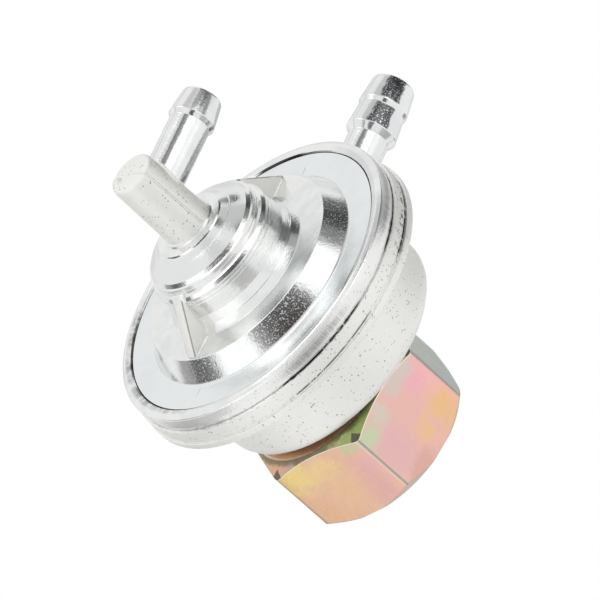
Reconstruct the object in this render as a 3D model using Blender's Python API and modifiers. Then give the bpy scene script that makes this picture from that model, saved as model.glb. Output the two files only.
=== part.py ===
"""Vacuum-operated fuel tap for a small engine, modelled in metres with +Z up.

The tap hangs under the tank. The origin is the middle of the face that seals
against the tank spigot, +Z points into the tank and +X is the direction of both
hose nipples. Cup, diaphragm and cover share one axis, the diaphragm axis, and the
neck and its union nut stand off that axis. Heights along the diaphragm axis are
measured from the front face of the rolled rim, upwards.
"""

import math

import bmesh
import bpy
from mathutils import Matrix, Vector

MM = 0.001

# Clearances
SEAT_GAP = 0.3 * MM
RING_GAP = 0.3 * MM

# Layout
NECK_OFFSET = 4.34 * MM
NUT_FACE_HEIGHT = 15.7 * MM

# Rolled rim and flange of the body
RIM_BORE_RADIUS = 18.5 * MM
RIM_NOSE_RADIUS = 19.7 * MM
RIM_NOSE_HEIGHT = 0.35 * MM
RIM_NOSE_THICKNESS = 0.3 * MM
RIM_SLOPE_DROP = 0.6 * MM
RIM_ROLLED_RADIUS = 20.0 * MM
RIM_SEAM_HEIGHT = 2.37 * MM
RIM_CAST_RADIUS = 20.3 * MM
RIM_CAST_END = 3.96 * MM
RIM_GROOVE_WIDTH = 0.49 * MM
RIM_GROOVE_DEPTH = 0.2 * MM
FLANGE_RADIUS = 20.5 * MM
FLANGE_BACK = 5.4 * MM
FLANGE_EDGE = 0.2 * MM
RECESS_RADIUS = 19.2 * MM

# Cup
CUP_RADIUS = 15.5 * MM
CUP_FACE = 15.1 * MM
CUP_CORNER = 2.6 * MM
CUP_ROOT_FILLET = 0.5 * MM
CHAMBER_RADIUS = 13.5 * MM
CHAMBER_CORNER = 1.2 * MM
CHAMBER_ROOF = 4.7 * MM
CORNER_STEPS = 4
EDGE_STEPS = 2
GROOVE_ARC_STEPS = 6

# Valve seat and inlet
SEAT_BORE_RADIUS = 1.8 * MM
SEAT_LAND_WIDTH = 0.4 * MM
SEAT_LAND_RISE = 0.3 * MM
SEAT_TOWER_RADIUS = 3.3 * MM
SEAT_TOWER_TAPER = 0.4 * MM
SEAT_BORE_ROOF = 0.9 * MM
INLET_RADIUS = 3.5 * MM
INLET_FLOOR = 11.9 * MM

# Neck
NECK_RADIUS = 6.2 * MM
NECK_CHAMFER = 0.3 * MM
NECK_LAND = 0.5 * MM

# Cover
COVER_FACE = 0.4 * MM
COVER_FLANGE = 1.6 * MM
DRUM_FOOT_RADIUS = 14.98 * MM
DRUM_FOOT_FILLET = 0.5 * MM
DRUM_TOP_RADIUS = 13.26 * MM
DRUM_HEIGHT = 2.67 * MM
DRUM_EDGE = 0.15 * MM
BOSS_ROOT_FILLET = 0.6 * MM
BOSS_ROOT_RADIUS = 8.8 * MM
BOSS_WAIST_RADIUS = 8.65 * MM
BOSS_FLARE_HEIGHT = 7.4 * MM
BOSS_RIM_RADIUS = 7.65 * MM
BOSS_RIM_HEIGHT = 9.4 * MM
BOSS_RIM_EDGE = 0.3 * MM
BOSS_GROOVE_DEPTH = 0.12 * MM
BOSS_GROOVE_WIDTH = 0.25 * MM
POST_FOOT_RADIUS = 4.63 * MM
POST_FOOT_HEIGHT = 11.1 * MM
POST_ROOT_RADIUS = 3.1 * MM
POST_TIP_RADIUS = 2.94 * MM
POST_HEIGHT = 21.2 * MM
POST_EDGE = 0.5 * MM
GATE_RADIUS = 0.9 * MM
GATE_HEIGHT = 0.35 * MM
GATE_AZIMUTH = math.radians(240.0)
DRUM_WALL = 1.5 * MM
SPRING_CHAMBER_RADIUS = 12.4 * MM
SPRING_CHAMBER_DRAFT = 0.6 * MM
POCKET_RADIUS = 6.3 * MM
POCKET_FLOOR_WALL = 1.8 * MM
GUSSET_THICKNESS = 1.1 * MM
GUSSET_TOP_DROP = 0.4 * MM
GUSSET_OVERLAP = 0.8 * MM

# Vacuum nipple
VACUUM_DROP = 16.9 * MM
VACUUM_TUBE_RADIUS = 2.5 * MM
VACUUM_BARB_RADIUS = 2.87 * MM
VACUUM_BARB_START = 10.1 * MM
VACUUM_BARB_RISE = 0.6 * MM
VACUUM_TIP_LENGTH = 3.4 * MM
VACUUM_TIP_RADIUS = 2.42 * MM
VACUUM_BORE_RADIUS = 1.3 * MM
VACUUM_PASSAGE_RADIUS = 1.5 * MM
VACUUM_PASSAGE_TIP = 1.0 * MM

# Fuel nipple
FUEL_HEIGHT = 6.72 * MM
FUEL_TUBE_RADIUS = 2.54 * MM
FUEL_INNER_BARB_RADIUS = 3.16 * MM
FUEL_INNER_BARB_START = 25.1 * MM
FUEL_INNER_BARB_RISE = 0.8 * MM
FUEL_WAIST_LENGTH = 3.2 * MM
FUEL_WAIST_RADIUS = 2.86 * MM
FUEL_OUTER_BARB_RISE = 0.5 * MM
FUEL_OUTER_BARB_RADIUS = 3.08 * MM
FUEL_TIP_LENGTH = 3.5 * MM
FUEL_TIP_RADIUS = 2.66 * MM
FUEL_BORE_RADIUS = 1.6 * MM
NIPPLE_EDGE = 0.3 * MM
NIPPLE_MOUTH_CHAMFER = 0.25 * MM

# Union nut
NUT_ACROSS_FLATS = 22.0 * MM
NUT_HEIGHT = 11.55 * MM
NUT_CORNER_ANGLE = math.radians(10.0)
NUT_CHAMFER_INSET = 0.35 * MM
NUT_CHAMFER_ANGLE = math.radians(30.0)
NUT_TOP_CHAMFER_OUTSET = 0.15 * MM
NUT_TOP_CHAMFER_ANGLE = math.radians(45.0)
NUT_LIP = 1.8 * MM
THREAD_MAJOR_RADIUS = 8.0 * MM
THREAD_MINOR_RADIUS = 7.25 * MM
THREAD_PITCH = 1.5 * MM
THREAD_FLANK = math.radians(30.0)
THREAD_RUN_IN = 0.9 * MM
THREAD_MOUTH_CHAMFER = 0.5 * MM

# Retaining ring and tank seal
RING_WIRE_RADIUS = 0.55 * MM
RING_CENTRE_RADIUS = 6.4 * MM
RING_MOUTH = math.radians(50.0)
SEAL_RADIUS = 7.0 * MM
SEAL_HOLE_RADIUS = 4.0 * MM
SEAL_THICKNESS = 1.2 * MM

# Diaphragm, valve and spring
BEAD_HEIGHT = 1.1 * MM
BEAD_WIDTH = 1.3 * MM
SHEET_THICKNESS = 0.6 * MM
SHEET_HOLE_RADIUS = 1.7 * MM
LOOP_MIDDLE_RADIUS = 10.7 * MM
LOOP_HALF_WIDTH = 1.3 * MM
LOOP_DEPTH = 1.1 * MM
LOOP_STEPS = 6
PLATE_RADIUS = 8.9 * MM
PLATE_THICKNESS = 0.6 * MM
PLATE_TURN = 0.7 * MM
RIVET_SHANK_RADIUS = 1.4 * MM
RIVET_HEAD_RADIUS = 2.6 * MM
RIVET_HEAD_HEIGHT = 0.9 * MM
RIVET_CUP_RADIUS = 3.7 * MM
RIVET_CUP_FLOOR = 0.5 * MM
RIVET_CUP_WALL = 0.5 * MM
RIVET_CUP_DEPTH = 0.85 * MM
PAD_THICKNESS = 1.35 * MM
PAD_EDGE = 0.15 * MM
SPRING_WIRE_RADIUS = 0.4 * MM
SPRING_COIL_RADIUS = 5.1 * MM
SPRING_CLOSED_TURNS = 1.0
SPRING_OPEN_TURNS = 4.0
SPRING_CLOSED_PITCH = 1.05 * MM
SPRING_STEPS = 16

# Roundness
WIDE_STEPS = 48
MEDIUM_STEPS = 36
NARROW_STEPS = 24
MERGE_DISTANCE = 0.01 * MM
CUT_MARGIN = 1.0 * MM

# Lengths that follow
VACUUM_BARB_CREST = VACUUM_BARB_START + VACUUM_BARB_RISE
VACUUM_REACH = VACUUM_BARB_CREST + VACUUM_TIP_LENGTH
FUEL_INNER_BARB_CREST = FUEL_INNER_BARB_START + FUEL_INNER_BARB_RISE
FUEL_OUTER_BARB_START = FUEL_INNER_BARB_CREST + FUEL_WAIST_LENGTH
FUEL_OUTER_BARB_CREST = FUEL_OUTER_BARB_START + FUEL_OUTER_BARB_RISE
FUEL_REACH = FUEL_OUTER_BARB_CREST + FUEL_TIP_LENGTH

# Heights that follow
COVER_BACK = COVER_FACE + COVER_FLANGE
BEAD_BOTTOM = COVER_BACK + SEAT_GAP
LEDGE_HEIGHT = BEAD_BOTTOM + BEAD_HEIGHT + SEAT_GAP
SHEET_BOTTOM = BEAD_BOTTOM + (BEAD_HEIGHT - SHEET_THICKNESS) / 2
SHEET_TOP = SHEET_BOTTOM + SHEET_THICKNESS
FUEL_PLATE_BOTTOM = SHEET_TOP + SEAT_GAP
FUEL_PLATE_TOP = FUEL_PLATE_BOTTOM + PLATE_THICKNESS
SPRING_PLATE_TOP = SHEET_BOTTOM - SEAT_GAP
SPRING_PLATE_BOTTOM = SPRING_PLATE_TOP - PLATE_THICKNESS
RIVET_CUP_BOTTOM = FUEL_PLATE_TOP + SEAT_GAP
PAD_BOTTOM = RIVET_CUP_BOTTOM + RIVET_CUP_FLOOR + SEAT_GAP
PAD_TOP = PAD_BOTTOM + PAD_THICKNESS
SEAT_HEIGHT = PAD_TOP + SEAT_GAP
CHAMBER_CEILING = CUP_FACE - CHAMBER_ROOF
SEAT_BORE_END = CUP_FACE - SEAT_BORE_ROOF
RIVET_HEAD_TOP = SPRING_PLATE_BOTTOM - SEAT_GAP
DRUM_TOP = COVER_FACE - DRUM_HEIGHT
SPRING_CHAMBER_FLOOR = DRUM_TOP + DRUM_WALL
BOSS_RIM_LEVEL = COVER_FACE - BOSS_RIM_HEIGHT
BOSS_FLARE_LEVEL = COVER_FACE - BOSS_FLARE_HEIGHT
POST_FOOT_LEVEL = COVER_FACE - POST_FOOT_HEIGHT
POST_END = COVER_FACE - POST_HEIGHT
POCKET_FLOOR = BOSS_RIM_LEVEL + POCKET_FLOOR_WALL
VACUUM_LEVEL = COVER_FACE - VACUUM_DROP
NUT_SHOULDER = NUT_FACE_HEIGHT + NUT_LIP
NUT_TOP = NUT_FACE_HEIGHT + NUT_HEIGHT
RING_HEIGHT = NUT_SHOULDER + SEAT_GAP + RING_WIRE_RADIUS
GROOVE_RADIUS = RING_WIRE_RADIUS + RING_GAP
NECK_TOP = RING_HEIGHT + GROOVE_RADIUS + NECK_LAND
SEAL_BOTTOM = NECK_TOP + SEAT_GAP
SEAL_TOP = SEAL_BOTTOM + SEAL_THICKNESS
NUT_LIP_RADIUS = NECK_RADIUS + RING_GAP


def start_file():
    """Empty the file and make one collection for the tap and one for the cutters."""
    for item in list(bpy.data.objects):
        bpy.data.objects.remove(item, do_unlink=True)
    tap = bpy.data.collections.new("fuel_tap")
    cutters = bpy.data.collections.new("cutters")
    bpy.context.scene.collection.children.link(tap)
    bpy.context.scene.collection.children.link(cutters)
    return tap, cutters


def make_material(name, color, roughness, metallic):
    """Return a Principled material with one colour."""
    material = bpy.data.materials.new(name)
    material.use_nodes = True
    shader = material.node_tree.nodes["Principled BSDF"]
    shader.inputs["Base Color"].default_value = (*color, 1.0)
    shader.inputs["Roughness"].default_value = roughness
    shader.inputs["Metallic"].default_value = metallic
    return material


def add_axis(name, collection, location):
    """Add an empty that carries the pieces turning or sliding about one axis."""
    axis = bpy.data.objects.new(name, None)
    axis.empty_display_size = 5 * MM
    axis.location = location
    collection.objects.link(axis)
    return axis


def add_piece(name, mesh, collection, axis):
    """Link a mesh as an object on an axis."""
    piece = bpy.data.objects.new(name, mesh)
    piece.parent = axis
    collection.objects.link(piece)
    return piece


def mark_cutter(piece):
    """Show a cutting or joining form as a wire and keep it out of renders."""
    piece.hide_render = True
    piece.display_type = "WIRE"
    return piece


def turn(name, profile, collection, axis, steps=WIDE_STEPS, closed=True):
    """Revolve a profile of (radius, height) points about the local Z axis.

    The outer side of the profile runs from top to bottom.
    """
    mesh = bpy.data.meshes.new(name)
    points = [(radius, 0.0, height) for radius, height in profile]
    edges = [(i, i + 1) for i in range(len(points) - 1)]
    if closed:
        edges.append((len(points) - 1, 0))
    mesh.from_pydata(points, edges, [])
    piece = add_piece(name, mesh, collection, axis)
    screw = piece.modifiers.new("turn", "SCREW")
    screw.axis = "Z"
    screw.angle = math.tau
    screw.steps = steps
    screw.render_steps = steps
    screw.use_merge_vertices = True
    screw.merge_threshold = MERGE_DISTANCE
    screw.use_smooth_shade = True
    return piece


def combine(piece, other, operation):
    """Join or cut a piece with another form."""
    boolean = piece.modifiers.new(other.name, "BOOLEAN")
    boolean.operation = operation
    boolean.solver = "EXACT"
    boolean.object = other
    return boolean


def corner(centre_radius, centre_height, size, start, end, steps=CORNER_STEPS):
    """Return the points of an arc in a profile, angles in degrees from outwards."""
    points = []
    for i in range(steps + 1):
        angle = math.radians(start + (end - start) * i / steps)
        points.append((centre_radius + size * math.cos(angle),
                       centre_height + size * math.sin(angle)))
    return points


def nipple_profile(start, outline):
    """Close an outline of (radius, reach) points into a solid hose nipple.

    start is where the nipple begins inside the casting.
    """
    tip_radius, reach = outline[-1]
    profile = [(0.0, reach)]
    profile += [(tip_radius - NIPPLE_EDGE, reach), (tip_radius, reach - NIPPLE_EDGE)]
    profile += [(radius, at) for radius, at in reversed(outline[:-1])]
    profile += [(outline[0][0], start), (0.0, start)]
    return profile


def lay_along_x(piece, height):
    """Turn a form from its own Z axis onto +X at one height."""
    piece.rotation_euler = (0.0, math.radians(90.0), 0.0)
    piece.location.z = height
    return piece


def bore_profile(radius, start, reach, chamfer):
    """Profile of a bore with a broken mouth at its far end."""
    past = reach + CUT_MARGIN
    return [
        (0.0, past),
        (radius + chamfer + CUT_MARGIN, past),
        (radius, reach - chamfer),
        (radius, start),
        (0.0, start),
    ]


def mesh_of(piece):
    """Return the finished mesh of an object with its modifiers or curve resolved."""
    graph = bpy.context.evaluated_depsgraph_get()
    mesh = bpy.data.meshes.new_from_object(piece.evaluated_get(graph))
    return mesh


def add_body_casting(tap, cutters, axis, neck_axis, material):
    """Cup, rolled rim, eccentric neck with inlet bore, valve seat and fuel nipple."""
    rim_slope_end = RIM_NOSE_THICKNESS + RIM_SLOPE_DROP
    groove_radius = RIM_CAST_RADIUS - RIM_GROOVE_DEPTH
    groove_end = RIM_CAST_END + RIM_GROOVE_WIDTH
    tower_top = SEAT_TOWER_RADIUS + SEAT_TOWER_TAPER
    land_outer = SEAT_BORE_RADIUS + 2 * SEAT_LAND_WIDTH
    profile = [(0.0, CUP_FACE)]
    profile += corner(CUP_RADIUS - CUP_CORNER, CUP_FACE - CUP_CORNER, CUP_CORNER, 90, 0)
    profile += [
        (CUP_RADIUS, FLANGE_BACK + CUP_ROOT_FILLET),
        (CUP_RADIUS + CUP_ROOT_FILLET, FLANGE_BACK),
        (FLANGE_RADIUS - FLANGE_EDGE, FLANGE_BACK),
        (FLANGE_RADIUS, FLANGE_BACK - FLANGE_EDGE),
        (FLANGE_RADIUS, groove_end),
        (groove_radius, groove_end),
        (groove_radius, RIM_CAST_END),
        (RIM_CAST_RADIUS, RIM_CAST_END),
        (RIM_CAST_RADIUS, RIM_SEAM_HEIGHT),
        (RIM_ROLLED_RADIUS, RIM_SEAM_HEIGHT),
        (RIM_ROLLED_RADIUS, RIM_NOSE_HEIGHT),
        (RIM_NOSE_RADIUS, 0.0),
        (RIM_BORE_RADIUS, 0.0),
        (RIM_BORE_RADIUS, RIM_NOSE_THICKNESS),
        (RECESS_RADIUS, rim_slope_end),
        (RECESS_RADIUS, LEDGE_HEIGHT),
        (CHAMBER_RADIUS, LEDGE_HEIGHT),
    ]
    profile += corner(CHAMBER_RADIUS - CHAMBER_CORNER, CHAMBER_CEILING - CHAMBER_CORNER,
                      CHAMBER_CORNER, 0, 90, EDGE_STEPS)
    profile += [
        (tower_top, CHAMBER_CEILING),
        (SEAT_TOWER_RADIUS, SEAT_HEIGHT + SEAT_LAND_RISE),
        (land_outer, SEAT_HEIGHT + SEAT_LAND_RISE),
        (land_outer - SEAT_LAND_WIDTH / 2, SEAT_HEIGHT),
        (SEAT_BORE_RADIUS + SEAT_LAND_WIDTH / 2, SEAT_HEIGHT),
        (SEAT_BORE_RADIUS, SEAT_HEIGHT + SEAT_LAND_RISE),
        (SEAT_BORE_RADIUS, SEAT_BORE_END),
        (0.0, SEAT_BORE_END),
    ]
    body = turn("body_casting", profile, tap, axis, closed=False)
    body.data.materials.append(material)

    neck_start = (SEAT_BORE_END + CUP_FACE) / 2
    mouth = math.degrees(math.acos((NECK_RADIUS - RING_CENTRE_RADIUS) / GROOVE_RADIUS))
    neck_profile = [
        (0.0, NECK_TOP),
        (NECK_RADIUS - NECK_CHAMFER, NECK_TOP),
        (NECK_RADIUS, NECK_TOP - NECK_CHAMFER),
    ]
    neck_profile += corner(RING_CENTRE_RADIUS, RING_HEIGHT, GROOVE_RADIUS,
                           mouth, 360 - mouth, GROOVE_ARC_STEPS)
    neck_profile += [(NECK_RADIUS, neck_start), (0.0, neck_start)]
    neck = turn("neck_form", neck_profile, cutters, neck_axis, MEDIUM_STEPS, closed=False)
    inlet = turn("inlet_cutter",
                 bore_profile(INLET_RADIUS, INLET_FLOOR, NECK_TOP, NIPPLE_MOUTH_CHAMFER),
                 cutters, neck_axis, MEDIUM_STEPS, closed=False)
    nipple_start = (CHAMBER_RADIUS + CUP_RADIUS) / 2
    outline = [
        (FUEL_TUBE_RADIUS, FUEL_INNER_BARB_START),
        (FUEL_INNER_BARB_RADIUS, FUEL_INNER_BARB_CREST),
        (FUEL_WAIST_RADIUS, FUEL_OUTER_BARB_START),
        (FUEL_OUTER_BARB_RADIUS, FUEL_OUTER_BARB_CREST),
        (FUEL_TIP_RADIUS, FUEL_REACH),
    ]
    nipple = lay_along_x(turn("fuel_nipple_form", nipple_profile(nipple_start, outline),
                              cutters, axis, NARROW_STEPS, closed=False), FUEL_HEIGHT)
    outlet = lay_along_x(turn("fuel_bore_cutter",
                              bore_profile(FUEL_BORE_RADIUS, CHAMBER_RADIUS - CUT_MARGIN,
                                           FUEL_REACH, NIPPLE_MOUTH_CHAMFER),
                              cutters, axis, NARROW_STEPS, closed=False), FUEL_HEIGHT)
    for form in (neck, inlet, nipple, outlet):
        mark_cutter(form)
    combine(body, neck, "UNION")
    combine(body, nipple, "UNION")
    combine(body, inlet, "DIFFERENCE")
    combine(body, outlet, "DIFFERENCE")
    return body


def add_cover_casting(tap, cutters, axis, material):
    """Cover with flange, drum, sprung boss, post with gussets and vacuum nipple."""
    slope_start = RIM_BORE_RADIUS - SEAT_GAP
    flange_radius = RECESS_RADIUS - RING_GAP
    groove_level = BOSS_FLARE_LEVEL + BOSS_GROOVE_WIDTH
    boss_flare = BOSS_WAIST_RADIUS - BOSS_GROOVE_DEPTH
    profile = [
        (SPRING_CHAMBER_RADIUS, COVER_BACK),
        (flange_radius, COVER_BACK),
        (flange_radius, COVER_FACE + RIM_SLOPE_DROP),
        (slope_start, COVER_FACE),
        (DRUM_FOOT_RADIUS + DRUM_FOOT_FILLET, COVER_FACE),
        (DRUM_FOOT_RADIUS, COVER_FACE - DRUM_FOOT_FILLET),
        (DRUM_TOP_RADIUS, DRUM_TOP + DRUM_EDGE),
        (DRUM_TOP_RADIUS - DRUM_EDGE, DRUM_TOP),
        (BOSS_ROOT_RADIUS + BOSS_ROOT_FILLET, DRUM_TOP),
        (BOSS_ROOT_RADIUS, DRUM_TOP - BOSS_ROOT_FILLET),
        (BOSS_WAIST_RADIUS, groove_level),
        (boss_flare, groove_level - BOSS_GROOVE_WIDTH / 2),
        (BOSS_WAIST_RADIUS, BOSS_FLARE_LEVEL),
        (BOSS_RIM_RADIUS + BOSS_RIM_EDGE / 2, BOSS_RIM_LEVEL + 2 * BOSS_RIM_EDGE),
        (BOSS_RIM_RADIUS - BOSS_RIM_EDGE, BOSS_RIM_LEVEL),
        (POST_FOOT_RADIUS, POST_FOOT_LEVEL),
        (POST_ROOT_RADIUS + BOSS_RIM_EDGE, POST_FOOT_LEVEL),
        (POST_ROOT_RADIUS, POST_FOOT_LEVEL - BOSS_RIM_EDGE),
    ]
    profile += corner(POST_TIP_RADIUS - POST_EDGE, POST_END + POST_EDGE, POST_EDGE,
                      0, -90, EDGE_STEPS)
    profile += [
        (0.0, POST_END),
        (0.0, POCKET_FLOOR),
        (POCKET_RADIUS, POCKET_FLOOR),
        (POCKET_RADIUS, SPRING_CHAMBER_FLOOR),
        (SPRING_CHAMBER_RADIUS - SPRING_CHAMBER_DRAFT, SPRING_CHAMBER_FLOOR),
    ]
    cover = turn("cover_casting", profile, tap, axis)
    cover.data.materials.append(material)

    forms = [add_gusset(cutters, axis, side) for side in (0.0, 180.0)]
    outline = [
        (VACUUM_TUBE_RADIUS, VACUUM_BARB_START),
        (VACUUM_BARB_RADIUS, VACUUM_BARB_CREST),
        (VACUUM_TIP_RADIUS, VACUUM_REACH),
    ]
    forms.append(lay_along_x(turn("vacuum_nipple_form", nipple_profile(0.0, outline),
                                  cutters, axis, NARROW_STEPS, closed=False),
                             VACUUM_LEVEL))
    gate = turn("gate_form", [
        (0.0, POST_END + POST_EDGE),
        (GATE_RADIUS, POST_END + POST_EDGE),
        (GATE_RADIUS, POST_END - GATE_HEIGHT / 2),
        (GATE_RADIUS / 2, POST_END - GATE_HEIGHT),
        (0.0, POST_END - GATE_HEIGHT),
    ], cutters, axis, NARROW_STEPS // 2, closed=False)
    gate_offset = POST_TIP_RADIUS - POST_EDGE - GATE_RADIUS / 2
    gate.location.x = gate_offset * math.cos(GATE_AZIMUTH)
    gate.location.y = gate_offset * math.sin(GATE_AZIMUTH)
    forms.append(gate)
    passage = turn("vacuum_passage_cutter", [
        (0.0, POCKET_FLOOR + CUT_MARGIN),
        (VACUUM_PASSAGE_RADIUS, POCKET_FLOOR + CUT_MARGIN),
        (VACUUM_PASSAGE_RADIUS, VACUUM_LEVEL - VACUUM_BORE_RADIUS / 2),
        (0.0, VACUUM_LEVEL - VACUUM_BORE_RADIUS / 2 - VACUUM_PASSAGE_TIP),
    ], cutters, axis, NARROW_STEPS, closed=False)
    port = lay_along_x(turn("vacuum_bore_cutter",
                            bore_profile(VACUUM_BORE_RADIUS, 0.0, VACUUM_REACH,
                                         NIPPLE_MOUTH_CHAMFER),
                            cutters, axis, NARROW_STEPS, closed=False), VACUUM_LEVEL)
    for form in forms:
        combine(cover, mark_cutter(form), "UNION")
    for form in (passage, port):
        combine(cover, mark_cutter(form), "DIFFERENCE")
    return cover


def add_gusset(cutters, axis, side):
    """Triangular rib from the boss down to the edge of the drum."""
    top = BOSS_FLARE_LEVEL + GUSSET_TOP_DROP
    toe = DRUM_TOP_RADIUS - 2 * DRUM_EDGE
    slope = (DRUM_TOP - top) / (toe - BOSS_WAIST_RADIUS)
    inner = BOSS_WAIST_RADIUS - GUSSET_OVERLAP
    outer = toe + DRUM_EDGE
    foot = DRUM_TOP + GUSSET_OVERLAP
    shape = bmesh.new()
    edge = GUSSET_THICKNESS / 2
    outline = [
        (inner, top - slope * GUSSET_OVERLAP),
        (outer, DRUM_TOP + slope * DRUM_EDGE),
        (outer, foot),
        (inner, foot),
    ]
    corners = [shape.verts.new((radius, -edge, height)) for radius, height in outline]
    face = shape.faces.new(corners)
    shaped = bmesh.ops.extrude_face_region(shape, geom=[face])
    moved = [item for item in shaped["geom"] if isinstance(item, bmesh.types.BMVert)]
    bmesh.ops.translate(shape, verts=moved, vec=Vector((0.0, GUSSET_THICKNESS, 0.0)))
    bmesh.ops.recalc_face_normals(shape, faces=shape.faces)
    mesh = bpy.data.meshes.new("gusset")
    shape.to_mesh(mesh)
    shape.free()
    gusset = add_piece(f"gusset_form_{int(side):03d}", mesh, cutters, axis)
    gusset.rotation_euler.z = math.radians(side)
    return gusset


def thread_cutter(cutters, axis):
    """Helical groove with sixty degree flanks, from the shoulder out past the top."""
    inner = THREAD_MINOR_RADIUS - RING_GAP
    half = (THREAD_MAJOR_RADIUS - inner) * math.tan(THREAD_FLANK)
    turns = math.ceil((NUT_TOP - NUT_SHOULDER) / THREAD_PITCH)
    sweep = turn("thread_sweep", [
        (inner, half),
        (THREAD_MAJOR_RADIUS, 0.0),
        (inner, -half),
    ], cutters, axis, NARROW_STEPS)
    screw = sweep.modifiers["turn"]
    screw.use_merge_vertices = False
    screw.screw_offset = THREAD_PITCH
    screw.iterations = turns
    shape = bmesh.new()
    shape.from_mesh(mesh_of(sweep))
    ends = [edge for edge in shape.edges if edge.is_boundary]
    bmesh.ops.holes_fill(shape, edges=ends, sides=0)
    bmesh.ops.recalc_face_normals(shape, faces=shape.faces)
    mesh = bpy.data.meshes.new("thread")
    shape.to_mesh(mesh)
    shape.free()
    bpy.data.objects.remove(sweep, do_unlink=True)
    cutter = add_piece("thread_cutter", mesh, cutters, axis)
    cutter.location.z = NUT_SHOULDER + THREAD_RUN_IN
    return mark_cutter(cutter)


def add_union_nut(tap, cutters, axis, material):
    """Hexagon nut, chamfered at both ends, with a lip below and a female thread."""
    flat = NUT_ACROSS_FLATS / 2
    corner_radius = flat / math.cos(math.radians(30.0))
    bpy.ops.mesh.primitive_cylinder_add(vertices=6, radius=corner_radius, depth=NUT_HEIGHT)
    nut = bpy.context.active_object
    nut.name = "union_nut"
    for group in list(nut.users_collection):
        group.objects.unlink(nut)
    tap.objects.link(nut)
    nut.parent = axis
    turned = Matrix.Rotation(NUT_CORNER_ANGLE - math.radians(90.0), 4, "Z")
    raised = Matrix.Translation((0.0, 0.0, NUT_FACE_HEIGHT + NUT_HEIGHT / 2))
    nut.data.transform(raised @ turned)
    nut.data.materials.append(material)

    face_radius = flat - NUT_CHAMFER_INSET
    top_radius = flat + NUT_TOP_CHAMFER_OUTSET
    reach = corner_radius + CUT_MARGIN
    rise = (reach - face_radius) * math.tan(NUT_CHAMFER_ANGLE)
    drop = (reach - top_radius) * math.tan(NUT_TOP_CHAMFER_ANGLE)
    chamfer = turn("nut_chamfer_form", [
        (0.0, NUT_TOP),
        (top_radius, NUT_TOP),
        (reach, NUT_TOP - drop),
        (reach, NUT_FACE_HEIGHT + rise),
        (face_radius, NUT_FACE_HEIGHT),
        (0.0, NUT_FACE_HEIGHT),
    ], cutters, axis, WIDE_STEPS, closed=False)
    socket = turn("nut_bore_cutter", [
        (0.0, NUT_TOP + CUT_MARGIN),
        (THREAD_MAJOR_RADIUS + CUT_MARGIN + THREAD_MOUTH_CHAMFER, NUT_TOP + CUT_MARGIN),
        (THREAD_MINOR_RADIUS, NUT_TOP - THREAD_MOUTH_CHAMFER
         - (THREAD_MAJOR_RADIUS - THREAD_MINOR_RADIUS)),
        (THREAD_MINOR_RADIUS, NUT_SHOULDER),
        (NUT_LIP_RADIUS, NUT_SHOULDER),
        (NUT_LIP_RADIUS, NUT_FACE_HEIGHT - CUT_MARGIN),
        (0.0, NUT_FACE_HEIGHT - CUT_MARGIN),
    ], cutters, axis, MEDIUM_STEPS, closed=False)
    combine(nut, mark_cutter(chamfer), "INTERSECT")
    combine(nut, mark_cutter(socket), "DIFFERENCE")
    combine(nut, thread_cutter(cutters, axis), "DIFFERENCE")
    return nut


def sweep_wire(name, points, radius, collection, axis, material):
    """Draw a round wire along points and turn it into a mesh piece."""
    curve = bpy.data.curves.new(name, "CURVE")
    curve.dimensions = "3D"
    curve.bevel_depth = radius
    curve.bevel_resolution = 2
    curve.use_fill_caps = True
    spline = curve.splines.new("POLY")
    spline.points.add(len(points) - 1)
    for node, point in zip(spline.points, points):
        node.co = (*point, 1.0)
    wire = add_piece(name, curve, collection, axis)
    wire.data.materials.append(material)
    return wire


def add_retaining_ring(tap, axis, material):
    """Open ring of round wire in the groove of the neck."""
    start = math.pi + RING_MOUTH / 2
    sweep = math.tau - RING_MOUTH
    points = []
    for i in range(MEDIUM_STEPS + 1):
        angle = start + sweep * i / MEDIUM_STEPS
        points.append((RING_CENTRE_RADIUS * math.cos(angle),
                       RING_CENTRE_RADIUS * math.sin(angle), RING_HEIGHT))
    return sweep_wire("nut_retaining_ring", points, RING_WIRE_RADIUS, tap, axis, material)


def add_return_spring(tap, axis, material):
    """Compression spring with one closed turn at each end."""
    bottom = POCKET_FLOOR + SEAT_GAP + SPRING_WIRE_RADIUS
    top = SPRING_PLATE_BOTTOM - SEAT_GAP - SPRING_WIRE_RADIUS
    closed_rise = SPRING_CLOSED_TURNS * SPRING_CLOSED_PITCH
    open_rise = top - bottom - 2 * closed_rise
    turns = 2 * SPRING_CLOSED_TURNS + SPRING_OPEN_TURNS
    count = round(turns * SPRING_STEPS)
    points = []
    for i in range(count + 1):
        at = turns * i / count
        if at < SPRING_CLOSED_TURNS:
            height = bottom + at * SPRING_CLOSED_PITCH
        elif at < SPRING_CLOSED_TURNS + SPRING_OPEN_TURNS:
            part = (at - SPRING_CLOSED_TURNS) / SPRING_OPEN_TURNS
            height = bottom + closed_rise + part * open_rise
        else:
            height = top - (turns - at) * SPRING_CLOSED_PITCH
        angle = math.tau * at
        points.append((SPRING_COIL_RADIUS * math.cos(angle),
                       SPRING_COIL_RADIUS * math.sin(angle), height))
    return sweep_wire("return_spring", points, SPRING_WIRE_RADIUS, tap, axis, material)


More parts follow.
